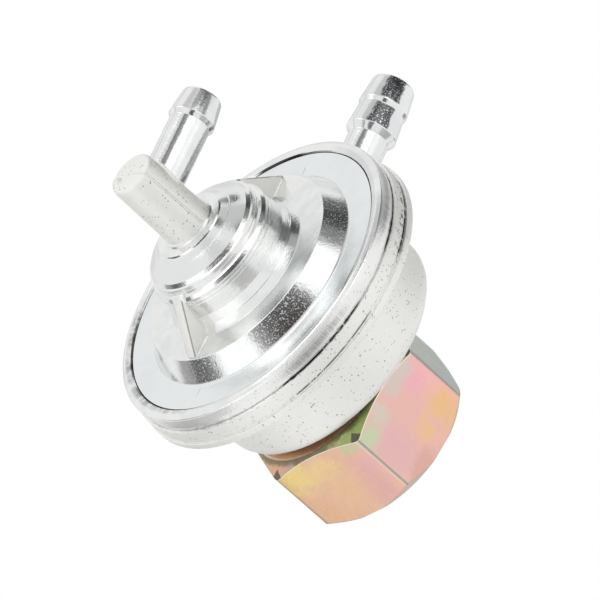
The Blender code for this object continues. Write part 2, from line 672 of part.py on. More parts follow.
def add_diaphragm(tap, axis, material):
    """Rubber sheet with one rolling loop and a bead at its edge."""
    sheet_radius = RECESS_RADIUS - 2 * RING_GAP
    bead_inner = sheet_radius - BEAD_WIDTH
    bead_top = BEAD_BOTTOM + BEAD_HEIGHT
    upper = []
    lower = []
    for i in range(LOOP_STEPS + 1):
        part = i / LOOP_STEPS
        radius = LOOP_MIDDLE_RADIUS + LOOP_HALF_WIDTH * (1 - 2 * part)
        dip = LOOP_DEPTH * (1 - math.cos(math.tau * part)) / 2
        upper.append((radius, SHEET_TOP - dip))
        lower.append((radius, SHEET_BOTTOM - dip))
    profile = [(SHEET_HOLE_RADIUS, SHEET_TOP)]
    profile += reversed(upper)
    profile += [
        (bead_inner, SHEET_TOP),
        (bead_inner, bead_top),
        (sheet_radius, bead_top),
        (sheet_radius, BEAD_BOTTOM),
        (bead_inner, BEAD_BOTTOM),
        (bead_inner, SHEET_BOTTOM),
    ]
    profile += lower
    profile += [(SHEET_HOLE_RADIUS, SHEET_BOTTOM)]
    sheet = turn("valve_diaphragm", profile, tap, axis, MEDIUM_STEPS)
    sheet.data.materials.append(material)
    return sheet


def add_plates(tap, axis, material):
    """Two stiffening discs, each with its edge turned away from the diaphragm."""
    inner = PLATE_RADIUS - PLATE_THICKNESS
    fuel = turn("fuel_side_plate", [
        (inner, FUEL_PLATE_TOP + PLATE_TURN),
        (PLATE_RADIUS, FUEL_PLATE_TOP + PLATE_TURN),
        (PLATE_RADIUS, FUEL_PLATE_BOTTOM + PLATE_THICKNESS / 2),
        (PLATE_RADIUS - PLATE_THICKNESS / 2, FUEL_PLATE_BOTTOM),
        (SHEET_HOLE_RADIUS, FUEL_PLATE_BOTTOM),
        (SHEET_HOLE_RADIUS, FUEL_PLATE_TOP),
        (inner, FUEL_PLATE_TOP),
    ], tap, axis, MEDIUM_STEPS)
    spring = turn("spring_side_plate", [
        (SHEET_HOLE_RADIUS, SPRING_PLATE_TOP),
        (PLATE_RADIUS - PLATE_THICKNESS / 2, SPRING_PLATE_TOP),
        (PLATE_RADIUS, SPRING_PLATE_TOP - PLATE_THICKNESS / 2),
        (PLATE_RADIUS, SPRING_PLATE_BOTTOM - PLATE_TURN),
        (inner, SPRING_PLATE_BOTTOM - PLATE_TURN),
        (inner, SPRING_PLATE_BOTTOM),
        (SHEET_HOLE_RADIUS, SPRING_PLATE_BOTTOM),
    ], tap, axis, MEDIUM_STEPS)
    for plate in (fuel, spring):
        plate.data.materials.append(material)
    return fuel, spring


def add_rivet(tap, axis, material):
    """Rivet with a cup for the valve pad above and a closed head below."""
    cup_top = RIVET_CUP_BOTTOM + RIVET_CUP_FLOOR + RIVET_CUP_DEPTH
    recess = RIVET_CUP_RADIUS - RIVET_CUP_WALL
    head_bottom = RIVET_HEAD_TOP - RIVET_HEAD_HEIGHT
    rivet = turn("valve_rivet", [
        (0.0, RIVET_CUP_BOTTOM + RIVET_CUP_FLOOR),
        (recess, RIVET_CUP_BOTTOM + RIVET_CUP_FLOOR),
        (recess, cup_top),
        (RIVET_CUP_RADIUS, cup_top),
        (RIVET_CUP_RADIUS, RIVET_CUP_BOTTOM),
        (RIVET_SHANK_RADIUS, RIVET_CUP_BOTTOM),
        (RIVET_SHANK_RADIUS, RIVET_HEAD_TOP),
        (RIVET_HEAD_RADIUS, RIVET_HEAD_TOP),
        (RIVET_HEAD_RADIUS - RIVET_HEAD_HEIGHT / 3, RIVET_HEAD_TOP - RIVET_HEAD_HEIGHT / 2),
        (RIVET_HEAD_RADIUS / 2, head_bottom),
        (0.0, head_bottom),
    ], tap, axis, NARROW_STEPS, closed=False)
    rivet.data.materials.append(material)
    return rivet


def add_pad(tap, axis, material):
    """Rubber pad that stands proud of the rivet's cup."""
    radius = RIVET_CUP_RADIUS - RIVET_CUP_WALL - RING_GAP
    pad = turn("valve_pad", [
        (0.0, PAD_TOP),
        (radius - PAD_EDGE, PAD_TOP),
        (radius, PAD_TOP - PAD_EDGE),
        (radius, PAD_BOTTOM),
        (0.0, PAD_BOTTOM),
    ], tap, axis, NARROW_STEPS, closed=False)
    pad.data.materials.append(material)
    return pad


def add_seal(tap, axis, material):
    """Flat washer between the neck and the tank spigot."""
    seal = turn("tank_seal_washer", [
        (SEAL_HOLE_RADIUS, SEAL_TOP),
        (SEAL_RADIUS, SEAL_TOP),
        (SEAL_RADIUS, SEAL_BOTTOM),
        (SEAL_HOLE_RADIUS, SEAL_BOTTOM),
    ], tap, axis, MEDIUM_STEPS)
    seal.data.materials.append(material)
    return seal


def main():
    tap, cutters = start_file()
    zinc = make_material("cast_zinc", (0.66, 0.67, 0.66), 0.38, 1.0)
    chromate = make_material("yellow_chromated_steel", (0.80, 0.58, 0.36), 0.28, 1.0)
    steel = make_material("spring_steel", (0.45, 0.46, 0.48), 0.32, 1.0)
    plated = make_material("plated_disc_steel", (0.62, 0.63, 0.65), 0.30, 1.0)
    brass = make_material("brass", (0.78, 0.60, 0.30), 0.30, 1.0)
    fibre = make_material("seal_fibre", (0.32, 0.12, 0.08), 0.80, 0.0)
    rubber = make_material("black_rubber", (0.025, 0.025, 0.027), 0.65, 0.0)

    valve_axis = add_axis("valve_axis", tap, (NECK_OFFSET, 0.0, -SEAL_TOP))
    neck_axis = add_axis("neck_axis", tap, (0.0, 0.0, -SEAL_TOP))

    add_body_casting(tap, cutters, valve_axis, neck_axis, zinc)
    add_cover_casting(tap, cutters, valve_axis, zinc)
    add_union_nut(tap, cutters, neck_axis, chromate)
    add_retaining_ring(tap, neck_axis, steel)
    add_seal(tap, neck_axis, fibre)
    add_diaphragm(tap, valve_axis, rubber)
    add_plates(tap, valve_axis, plated)
    add_rivet(tap, valve_axis, brass)
    add_pad(tap, valve_axis, rubber)
    add_return_spring(tap, valve_axis, steel)


if __name__ == "__main__":
    main()
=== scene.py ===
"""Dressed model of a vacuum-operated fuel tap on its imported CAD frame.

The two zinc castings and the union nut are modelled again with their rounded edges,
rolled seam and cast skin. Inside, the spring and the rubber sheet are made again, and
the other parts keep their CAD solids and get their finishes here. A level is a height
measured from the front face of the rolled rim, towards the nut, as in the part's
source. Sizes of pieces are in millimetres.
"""

import logging
import math
from dataclasses import dataclass, field
from enum import Enum
from typing import Callable, Iterable, Sequence, Union

import bmesh
import bpy
from mathutils import Matrix, Vector, noise


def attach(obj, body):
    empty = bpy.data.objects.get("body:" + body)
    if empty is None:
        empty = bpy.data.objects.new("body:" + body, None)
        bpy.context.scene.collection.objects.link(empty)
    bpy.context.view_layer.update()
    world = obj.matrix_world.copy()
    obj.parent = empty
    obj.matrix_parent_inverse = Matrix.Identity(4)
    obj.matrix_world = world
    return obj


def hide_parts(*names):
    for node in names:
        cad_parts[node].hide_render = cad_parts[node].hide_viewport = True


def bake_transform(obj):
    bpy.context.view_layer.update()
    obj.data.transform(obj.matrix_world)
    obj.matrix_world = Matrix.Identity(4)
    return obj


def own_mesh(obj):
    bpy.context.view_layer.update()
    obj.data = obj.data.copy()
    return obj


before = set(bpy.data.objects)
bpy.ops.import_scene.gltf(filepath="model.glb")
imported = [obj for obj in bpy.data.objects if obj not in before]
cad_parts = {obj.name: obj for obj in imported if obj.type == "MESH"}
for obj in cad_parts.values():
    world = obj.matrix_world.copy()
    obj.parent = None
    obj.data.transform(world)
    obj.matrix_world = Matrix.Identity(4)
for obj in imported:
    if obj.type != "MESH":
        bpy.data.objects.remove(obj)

LOG = logging.getLogger("fuel_tap")
MM = 0.001
SEAL_LEVEL = 21.2 * MM
VALVE_X = 4.34 * MM
VALVE_AXIS = Vector((VALVE_X, 0.0, -SEAL_LEVEL))
NECK_AXIS = Vector((0.0, 0.0, -SEAL_LEVEL))

Colour = tuple[float, float, float]


# Shader expressions


class Wire:
    """One output socket that takes part in Python arithmetic."""

    def __init__(self, graph: "Graph", socket: bpy.types.NodeSocket) -> None:
        """Keep the socket together with the graph that it belongs to."""
        self.graph = graph
        self.socket = socket

    def _math(self, operation: str, first: "Value", second: "Value" = 0.0) -> "Wire":
        """Add one Math node.

        Args:
            operation: Name of the Math node's operation.
            first: First operand.
            second: Second operand.

        Returns:
            The result as a new wire.
        """
        return self.graph.node("ShaderNodeMath", {"operation": operation},
                               {"Value": first, "Value_001": second})

    def __add__(self, other: "Value") -> "Wire":
        """Return self + other."""
        return self._math("ADD", self, other)

    def __radd__(self, other: "Value") -> "Wire":
        """Return other + self."""
        return self._math("ADD", other, self)

    def __sub__(self, other: "Value") -> "Wire":
        """Return self - other."""
        return self._math("SUBTRACT", self, other)

    def __rsub__(self, other: "Value") -> "Wire":
        """Return other - self."""
        return self._math("SUBTRACT", other, self)

    def __mul__(self, other: "Value") -> "Wire":
        """Return self * other."""
        return self._math("MULTIPLY", self, other)

    def __rmul__(self, other: "Value") -> "Wire":
        """Return other * self."""
        return self._math("MULTIPLY", other, self)

    def __truediv__(self, other: "Value") -> "Wire":
        """Return self / other."""
        return self._math("DIVIDE", self, other)

    def __pow__(self, other: "Value") -> "Wire":
        """Return self raised to other."""
        return self._math("POWER", self, other)

    def larger(self, other: "Value") -> "Wire":
        """Return the larger of self and other."""
        return self._math("MAXIMUM", self, other)

    def size(self) -> "Wire":
        """Return the absolute value."""
        return self._math("ABSOLUTE", self)


Value = Union[Wire, float, Sequence[float]]


class Graph:
    """Node tree of a material or a world, filled from Python expressions."""

    def __init__(self, tree: bpy.types.NodeTree) -> None:
        """Empty the tree and keep it."""
        self.tree = tree
        tree.nodes.clear()

    def node(self, kind: str, settings: dict, sockets: dict, output: str = "") -> Wire:
        """Add a node.

        Args:
            kind: Blender's type name of the node.
            settings: Values of the node's own properties; the key "stops" holds the
                (position, colour) pairs of a colour ramp.
            sockets: Values or wires of its inputs, by identifier or name.
            output: Identifier of the output that is returned, the first one if empty.

        Returns:
            The chosen output as a wire.
        """
        made = self.tree.nodes.new(kind)
        for key, value in settings.items():
            if key == "stops":
                self._set_stops(made.color_ramp, value)
            else:
                setattr(made, key, value)
        for key, value in sockets.items():
            target = next(s for s in made.inputs if key in (s.identifier, s.name))
            if isinstance(value, Wire):
                self.tree.links.new(value.socket, target)
            else:
                target.default_value = value
        if not made.outputs:
            return Wire(self, made.inputs[0])
        chosen = next((s for s in made.outputs if output in (s.identifier, s.name)),
                      made.outputs[0])
        return Wire(self, chosen)

    @staticmethod
    def _set_stops(ramp: bpy.types.ColorRamp, stops: Sequence[tuple]) -> None:
        """Give a colour ramp its (position, colour) stops."""
        while len(ramp.elements) > 1:
            ramp.elements.remove(ramp.elements[-1])
        for index, (position, colour) in enumerate(stops):
            stop = ramp.elements[0] if index == 0 else ramp.elements.new(position)
            stop.position = position
            stop.color = (*colour, 1.0)

    def place(self) -> Wire:
        """Return the Object coordinates, which are the part's own metres."""
        return self.node("ShaderNodeTexCoord", {}, {}, "Object")

    def parts(self, vector: Wire) -> tuple[Wire, Wire, Wire]:
        """Return the x, y and z of a vector."""
        x = self.node("ShaderNodeSeparateXYZ", {}, {"Vector": vector}, "X")
        sockets = x.socket.node.outputs
        return x, Wire(self, sockets["Y"]), Wire(self, sockets["Z"])

    def vector(self, x: Value, y: Value, z: Value) -> Wire:
        """Return a vector of three numbers."""
        return self.node("ShaderNodeCombineXYZ", {}, {"X": x, "Y": y, "Z": z})

    def noise(self, scale: float, detail: float = 2.0, spread: float = 0.5,
              at: Wire | None = None) -> Wire:
        """Return a noise value of about 0 to 1.

        Args:
            scale: Waves per metre.
            detail: Octaves.
            spread: Strength of each finer octave.
            at: Where it is read, the Object coordinates if left out.

        Returns:
            The noise as a wire.
        """
        return self.node("ShaderNodeTexNoise", {},
                         {"Vector": at or self.place(), "Scale": scale,
                          "Detail": detail, "Roughness": spread}, "Fac")

    def cells(self, scale: float, at: Wire | None = None, output: str = "Distance") -> Wire:
        """Return the distance to, or the colour of, the nearest of scattered points."""
        return self.node("ShaderNodeTexVoronoi", {},
                         {"Vector": at or self.place(), "Scale": scale}, output)

    def step(self, value: Wire, low: float, high: float) -> Wire:
        """Return 0 below low and 1 above high with a smooth rise between them."""
        return self.node("ShaderNodeMapRange", {"interpolation_type": "SMOOTHSTEP"},
                         {"Value": value, "From Min": low, "From Max": high})

    def band(self, value: Wire, low: float, high: float, soft: float) -> Wire:
        """Return 1 between low and high and 0 outside, soft at both ends."""
        rise = self.step(value, low - soft, low + soft)
        return rise * (1.0 - self.step(value, high - soft, high + soft))

    def angle(self, rise: Value, run: Value) -> Wire:
        """Return the angle of a direction, in radians from the run towards the rise."""
        return self.node("ShaderNodeMath", {"operation": "ARCTAN2"},
                         {"Value": rise, "Value_001": run})

    def mix(self, first: Value, second: Value, amount: Value) -> Wire:
        """Blend two colours."""
        full = [(*c, 1.0) if not isinstance(c, Wire) else c for c in (first, second)]
        return self.node("ShaderNodeMix", {"data_type": "RGBA"},
                         {"Factor_Float": amount, "A_Color": full[0], "B_Color": full[1]},
                         "Result_Color")

    def ramp(self, value: Wire, stops: Sequence[tuple]) -> Wire:
        """Return the colour of a ramp at a value."""
        return self.node("ShaderNodeValToRGB", {"stops": stops}, {"Fac": value}, "Color")

    def bump(self, height: Wire, depth: float, onto: Wire | None = None) -> Wire:
        """Return a normal tilted by a height.

        Args:
            height: Height of about 0 to 1.
            depth: What a height of 1 stands for, in metres.
            onto: The normal that it is added to.

        Returns:
            The normal as a wire.
        """
        sockets = {"Height": height, "Distance": depth, "Strength": 1.0}
        if onto is not None:
            sockets["Normal"] = onto
        return self.node("ShaderNodeBump", {}, sockets)

    def surface(self, fixed: dict, varying: dict) -> None:
        """End the graph in a Principled shader.

        Args:
            fixed: Sockets with one value all over.
            varying: Sockets that a wire drives.
        """
        shader = self.node("ShaderNodeBsdfPrincipled", {}, {**fixed, **varying})
        self.node("ShaderNodeOutputMaterial", {}, {"Surface": shader})


# Finishes


class Slot(Enum):
    """Material slots of the record."""

    ZINC = "cast_zinc"
    CHROMATE = "yellow_chromated_steel"
    SPRING = "spring_steel"
    DISC = "plated_disc_steel"
    BRASS = "brass"
    FIBRE = "seal_fibre"
    RUBBER = "black_rubber"


def new_graph(name: str) -> tuple[bpy.types.Material, Graph]:
    """Return a new material and its empty graph."""
    material = bpy.data.materials.new(name)
    material.use_nodes = True
    return material, Graph(material.node_tree)


@dataclass(frozen=True)
class Ring:
    """A band of the castings between two levels and, if given, two radii, in millimetres."""

    levels: tuple[float, float]
    level_soft: float
    radii: tuple[float, float] | None = None
    radius_soft: float = 0.1


class Zone(Enum):
    """Places on the castings that look different."""

    CAST_RIM = Ring((2.4, 5.4), 0.1)
    ROLLED_RIM = Ring((0.25, 2.35), 0.08)
    COVER_FLAT = Ring((0.22, 0.62), 0.04)
    DRUM_WALL = Ring((-2.2, 0.3), 0.1, (12.9, 15.4))
    DRUM_TOP = Ring((-2.5, -2.1), 0.05, (9.9, 13.0))
    GUSSETS = Ring((-8.3, -2.4), 0.05)
    BOSS_WALL = Ring((-7.0, -3.3), 0.1, (8.0, 9.6))
    BOSS_FRONT = Ring((-10.4, -8.7), 0.1)
    RIM_SHADE = Ring((0.9, 1.75), 0.25)
    NOSE = Ring((-0.1, 0.34), 0.05, (18.45, 19.20), 0.2)
    LIP = Ring((0.0, 1.2), 0.06, (18.34, 18.66), 0.06)
    CREVICE = Ring((0.34, 1.2), 0.03, (18.28, 18.50), 0.03)
    SEAM = Ring((2.0, 2.7), 0.08)
    GROOVE_FLOOR = Ring((4.1, 4.26), 0.05)
    GROOVE_MOUTH = Ring((3.84, 4.5), 0.08)
    STAIN = Ring((3.2, 3.9), 0.2)


@dataclass(frozen=True)
class Stretch:
    """Part of the way round the diaphragm axis, in degrees from +X towards +Y."""

    first: float
    last: float
    soft: float = 4.0
    strength: float = 1.0


class ZincMap:
    """Where a point of the castings lies, and the noises that their finish shares."""

    def __init__(self, g: Graph) -> None:
        """Read the place of the point, mark its surface and make the noises."""
        self.g = g
        x, self.y, z = g.parts(g.place())
        self.along = x - VALVE_X
        self.radius = (self.along * self.along + self.y * self.y) ** 0.5
        self.level = z + SEAL_LEVEL
        self.around = g.angle(self.y, self.along)
        self.mark_surfaces()
        self.make_noises()

    def on(self, zone: Zone) -> Wire:
        """Return 1 on a zone and 0 off it."""
        ring = zone.value
        low, high = ring.levels
        mask = self.g.band(self.level, low * MM, high * MM, ring.level_soft * MM)
        if ring.radii is None:
            return mask
        near, far = ring.radii
        return mask * self.g.band(self.radius, near * MM, far * MM, ring.radius_soft * MM)

    def beyond(self, near: float, far: float) -> Wire:
        """Return 0 at a radius below near and 1 above far, in millimetres."""
        return self.g.step(self.radius, near * MM, far * MM)

    def within(self, near: float, far: float) -> Wire:
        """Return 1 at a radius below near and 0 above far, in millimetres."""
        return 1.0 - self.beyond(near, far)

    def stretches(self, *parts: Stretch) -> Wire:
        """Return the strength of the strongest stretch that a point lies in."""
        masks = [self.g.band(self.around, math.radians(part.first), math.radians(part.last),
                             math.radians(part.soft)) * part.strength for part in parts]
        whole = masks[0]
        for mask in masks[1:]:
            whole = whole.larger(mask)
        return whole

    def mark_surfaces(self) -> None:
        """Mark the surfaces by their level and radius."""
        g = self.g
        self.below = 1.0 - g.step(self.level, -11.3 * MM, -10.9 * MM)
        stem = self.beyond(3.2, 3.35)
        self.inside = self.within(20.9, 21.1)
        self.post = self.below * (1.0 - stem)
        self.tube = (self.below * stem).larger(1.0 - self.inside)
        self.cup = g.step(self.level, 5.4 * MM, 5.7 * MM) * self.inside
        self.cast_rim = self.on(Zone.CAST_RIM) * self.inside
        self.rolled = self.on(Zone.ROLLED_RIM) * self.inside * self.beyond(19.3, 19.6)
        self.flat = self.on(Zone.COVER_FLAT) * self.within(18.36, 18.40)
        self.wall = self.on(Zone.DRUM_WALL)
        self.boss = self.on(Zone.BOSS_WALL)
        self.front = self.on(Zone.BOSS_FRONT)
        self.drum = self.on(Zone.DRUM_TOP)
        self.rib = (1.0 - g.step(self.y.size(), 0.95 * MM, 1.0 * MM)) * self.on(
            Zone.GUSSETS) * self.beyond(8.7, 8.8)
        self.matt = self.post.larger(self.cup).larger(self.cast_rim).larger(
            self.rolled * 0.4).larger(self.rib)

    def make_noises(self) -> None:
        """Make the noises: all over, along the turning lines, and across the rim."""
        g = self.g
        self.grain = g.noise(3600.0, 2.0, 0.6)
        self.speck = g.step(g.noise(5200.0, 1.0, 0.5), 0.56, 0.66)
        self.mottle = g.noise(420.0, 3.0, 0.55)
        self.cloud = g.noise(110.0, 2.0, 0.5)
        sweep = g.vector(self.radius, self.level, self.around * (2.2 * MM))
        self.turned = g.noise(2400.0, 3.0, 0.6, sweep)
        self.chatter = g.noise(1.0, 3.0, 0.6, g.vector(
            self.around * 110.0, self.level * 420.0, 0.0))
        self.torn = g.noise(1.0, 5.0, 0.7, g.vector(
            self.around * 30.0, self.level * 1600.0, 0.0))


@dataclass(frozen=True)
class CastZinc:
    """Bright zinc with a die-cast skin: frosted grain, pits, a parting line, and painted shade
    and a painted dark reflection in places.
    """

    name: str
    colour: Colour = (0.91, 0.92, 0.905)
    shade: Colour = (0.83, 0.85, 0.85)
    matt_tone: Colour = (1.0, 0.995, 0.965)
    flat_tone: Colour = (0.85, 0.88, 0.895)
    front_tone: Colour = (0.84, 0.86, 0.85)
    rim_shade: Colour = (0.42, 0.425, 0.42)
    nose_shade: Colour = (0.36, 0.365, 0.36)
    lip_shade: Colour = (0.05, 0.05, 0.05)
    # Painted shade on the lower side of the vacuum tube.
    underside_shade: Colour = (0.40, 0.41, 0.42)
    # Painted dark reflection on the barbs of the fuel nipple.
    barb_dark_reflection: Colour = (0.07, 0.075, 0.085)
    crest_line: Colour = (0.16, 0.165, 0.15)
    wall_tint: Colour = (0.40, 0.33, 0.31)
    # Darker colour for the seam gap, the groove and the crevice of the rim.
    gap_dark_tone: Colour = (0.03, 0.03, 0.03)
    pit_tone: Colour = (0.16, 0.16, 0.15)
    seam_tone: Colour = (0.40, 0.40, 0.40)
    roughness: float = 0.11
    frost: float = 0.30
    grain_depth: float = 0.012 * MM
    wave_depth: float = 0.035 * MM
    pit_scale: float = 3600.0
    pit_share: float = 0.57
    pit_depth: float = 0.035 * MM
    seam_depth: float = 0.04 * MM
    vacuum_level: float = -16.5 * MM
    fuel_level: float = 6.72 * MM

    def pits(self, m: ZincMap) -> Wire:
        """Return the scattered pits of the matt skin."""
        g = m.g
        spots = g.cells(self.pit_scale)
        draw = g.cells(self.pit_scale, output="Color")
        chosen = g.step(draw, self.pit_share, self.pit_share + 0.02)
        reach = 0.05 + 1.1 * (draw - self.pit_share) + (m.mottle - 0.5) * 0.3
        return (g.step(reach - spots, 0.0, 0.12) * chosen * (0.06 + 0.94 * m.matt)
                * (1.0 - m.rib))

    def seam(self, m: ZincMap) -> Wire:
        """Return the parting line along the nipples, with a scratch across the flat."""
        g = m.g
        scratch = g.band(m.radius, 15.4 * MM, 16.4 * MM, 0.1 * MM) * 0.8 + 0.15
        line = g.band(m.y, -0.045 * MM, 0.045 * MM, 0.02 * MM)
        return line * m.tube.larger(m.flat * scratch)

    def skin(self, m: ZincMap) -> Wire:
        """Return the colour of the bright, matt and flat surfaces."""
        g = m.g
        tone = g.mix(self.colour, self.shade,
                     g.step(m.cloud * 0.5 + m.mottle * 0.5, 0.42, 0.62))
        tone = g.mix(tone, self.matt_tone, m.matt.larger(m.rib) * 0.9)
        tone = g.mix(tone, self.flat_tone, m.flat * 0.6)
        return g.mix(tone, self.front_tone, m.front * 0.8)

    def painted_shade(self, m: ZincMap, tone: Wire) -> Wire:
        """Darken places that are dark in the photograph by reflection or shade.

        It is paint, fixed to the part, and stays dark under any light.

        Args:
            m: Places of the castings.
            tone: Colour so far.

        Returns:
            The colour with painted shade on the rim, nose, lip and the vacuum tube's lower
            side, and a painted dark reflection on the barbs.
        """
        g = m.g
        rim = m.stretches(Stretch(36.0, 74.0), Stretch(108.0, 136.0),
                          Stretch(-80.0, -35.0, strength=0.8))
        rim = rim * m.rolled * m.on(Zone.RIM_SHADE)
        tone = g.mix(tone, self.rim_shade, rim * g.step(m.chatter, 0.15, 0.80) * 0.9)
        blotched = g.step(m.mottle * 0.6 + m.torn * 0.4, 0.38, 0.62)
        tone = g.mix(tone, self.nose_shade, m.on(Zone.NOSE) * (
            m.stretches(Stretch(-179.0, -95.0, 8.0)) * blotched * 0.8
            + m.stretches(Stretch(18.0, 100.0, 8.0)) * 0.25))
        tone = g.mix(tone, self.lip_shade, m.on(Zone.LIP) * (
            m.stretches(Stretch(-27.0, -4.0, 3.0))
            + m.stretches(Stretch(-155.0, -97.0, 8.0)) * g.step(m.mottle, 0.44, 0.60) * 0.6))
        # Painted shade on the lower side of the vacuum tube.
        turned_down = g.step(g.angle(m.y, self.vacuum_level - m.level), 2.02, 2.16)
        tone = g.mix(tone, self.underside_shade, m.tube * m.below * turned_down * 0.75)
        # Painted dark reflection: a speckled dark band on the barbs of the fuel nipple.
        barbs = (1.0 - m.inside) * (g.band(m.along, 26.0 * MM, 29.0 * MM, 0.1 * MM)
                                    + g.band(m.along, 29.8 * MM, 33.3 * MM, 0.1 * MM))
        roll = g.angle(m.y, self.fuel_level - m.level) + (m.mottle - 0.5) * 0.5
        facing = g.band(roll, 0.62, 1.45, 0.06)
        return g.mix(tone, self.barb_dark_reflection, barbs * facing * (1.0 - m.speck * 0.9) * 0.9)

    def marks(self, m: ZincMap, tone: Wire) -> Wire:
        """Draw the gussets' crest lines and the brown tint low on the drum's wall.

        Args:
            m: Places of the castings.
            tone: Colour so far.

        Returns:
            The colour with both.
        """
        g = m.g
        ridge = (-7.75 * MM) + (m.radius - 8.65 * MM) * 1.19
        half = 0.65 * MM + (13.0 * MM - m.radius) * 0.0437
        crest = m.rib * (1.0 - g.step(m.level - ridge, 0.14 * MM, 0.20 * MM)) * g.step(
            m.y.size() - half, -0.16 * MM, -0.08 * MM)
        tone = g.mix(tone, self.crest_line, crest * g.step(m.mottle, 0.34, 0.52) * 0.6)
        low = g.step(m.level, -1.4 * MM, -0.4 * MM)
        return g.mix(tone, self.wall_tint,
                     m.wall * m.stretches(Stretch(110.0, 134.0)) * low * 0.45)

    def gap_darkening(self, m: ZincMap) -> Wire:
        """Return the darkening in the seam gap, the groove and the crevice of the rim, stronger
        in some stretches round.
        """
        g = m.g
        # Stretches round where the seam gap and the groove are darker.
        dark_stretches = m.stretches(Stretch(38.0, 80.0, 3.0), Stretch(103.0, 140.0, 3.0),
                           Stretch(-160.0, -30.0, 6.0, 0.8), Stretch(-18.0, 12.0, 4.0, 0.6))
        dark_stretches = (dark_stretches * 0.9 + 0.12) * g.step(m.torn, 0.34, 0.50)
        gap = m.within(19.90, 19.97) * m.on(Zone.SEAM)
        groove = m.on(Zone.GROOVE_FLOOR) + m.stretches(
            Stretch(40.0, 79.0)) * m.on(Zone.GROOVE_MOUTH) * 0.6
        groove = groove * m.within(20.24, 20.32)
        stain = (m.stretches(Stretch(42.0, 78.0)) * m.on(Zone.STAIN) * m.inside
                 * g.step(m.torn, 0.50, 0.60))
        crevice_stretches = m.stretches(Stretch(-158.0, -95.0, 8.0), Stretch(-42.0, -6.0, 6.0))
        edge = m.on(Zone.CREVICE) * (crevice_stretches * g.step(m.torn, 0.36, 0.52) + 0.12)
        return (gap * dark_stretches).larger(edge).larger(groove * dark_stretches * 0.85).larger(stain * 0.8)

    def gloss(self, m: ZincMap) -> Wire:
        """Return the roughness: bright where turned, rough where cast or frosted."""
        frosted_wall = m.stretches(Stretch(46.0, 80.0), Stretch(106.0, 139.0),
                                   Stretch(163.0, 180.0), Stretch(-180.0, -171.0))
        frosted = (m.wall * (frosted_wall * 0.9 + 0.08) + m.tube * 0.12 + m.boss * 0.3
                   + m.front * 0.2)
        return (self.roughness + m.mottle * 0.05 + m.speck * self.frost * frosted
                + m.matt * 0.32 + (m.cup + m.post) * 0.16 + m.cast_rim * 0.08
                + m.flat * 0.07 + m.drum * 0.13 + m.rib * 0.2)

    def relief(self, m: ZincMap, pit: Wire, seam: Wire) -> Wire:
        """Return the normal with grain, turning lines, waves, pits and parting lines."""
        g = m.g
        normal = g.bump(m.grain * (1.0 + m.matt * 2.0) + m.turned * (0.5 + m.boss * 2.5),
                        self.grain_depth)
        normal = g.bump(m.mottle, self.wave_depth, normal)
        normal = g.bump(1.0 - pit, self.pit_depth, normal)
        beside = (m.around - math.radians(98.0)).size()
        return g.bump(seam + m.post * g.band(beside, 0.028, 0.05, 0.012),
                      self.seam_depth, normal)

    def material(self) -> bpy.types.Material:
        """Build the material.

        Returns:
            The finished material.
        """
        material, g = new_graph(self.name)
        m = ZincMap(g)
        pit, seam = self.pits(m), self.seam(m)
        tone = self.marks(m, self.painted_shade(m, self.skin(m)))
        # Darken the seam gap, the groove and the crevice of the rim.
        tone = g.mix(tone, self.gap_dark_tone, self.gap_darkening(m))
        tone = g.mix(tone, self.pit_tone, pit * 0.6)
        tone = g.mix(tone, self.seam_tone, seam * 0.5)
        g.surface({"Metallic": 1.0},
                  {"Base Color": tone, "Roughness": self.gloss(m),
                   "Normal": self.relief(m, pit, seam)})
        return material


@dataclass(frozen=True)
class Blot:
    """One cloud of another hue. Angle in degrees from the first corner, level in mm."""

    angle: float
    level: float
    width: float
    height: float
    colour: tuple[float, float, float]


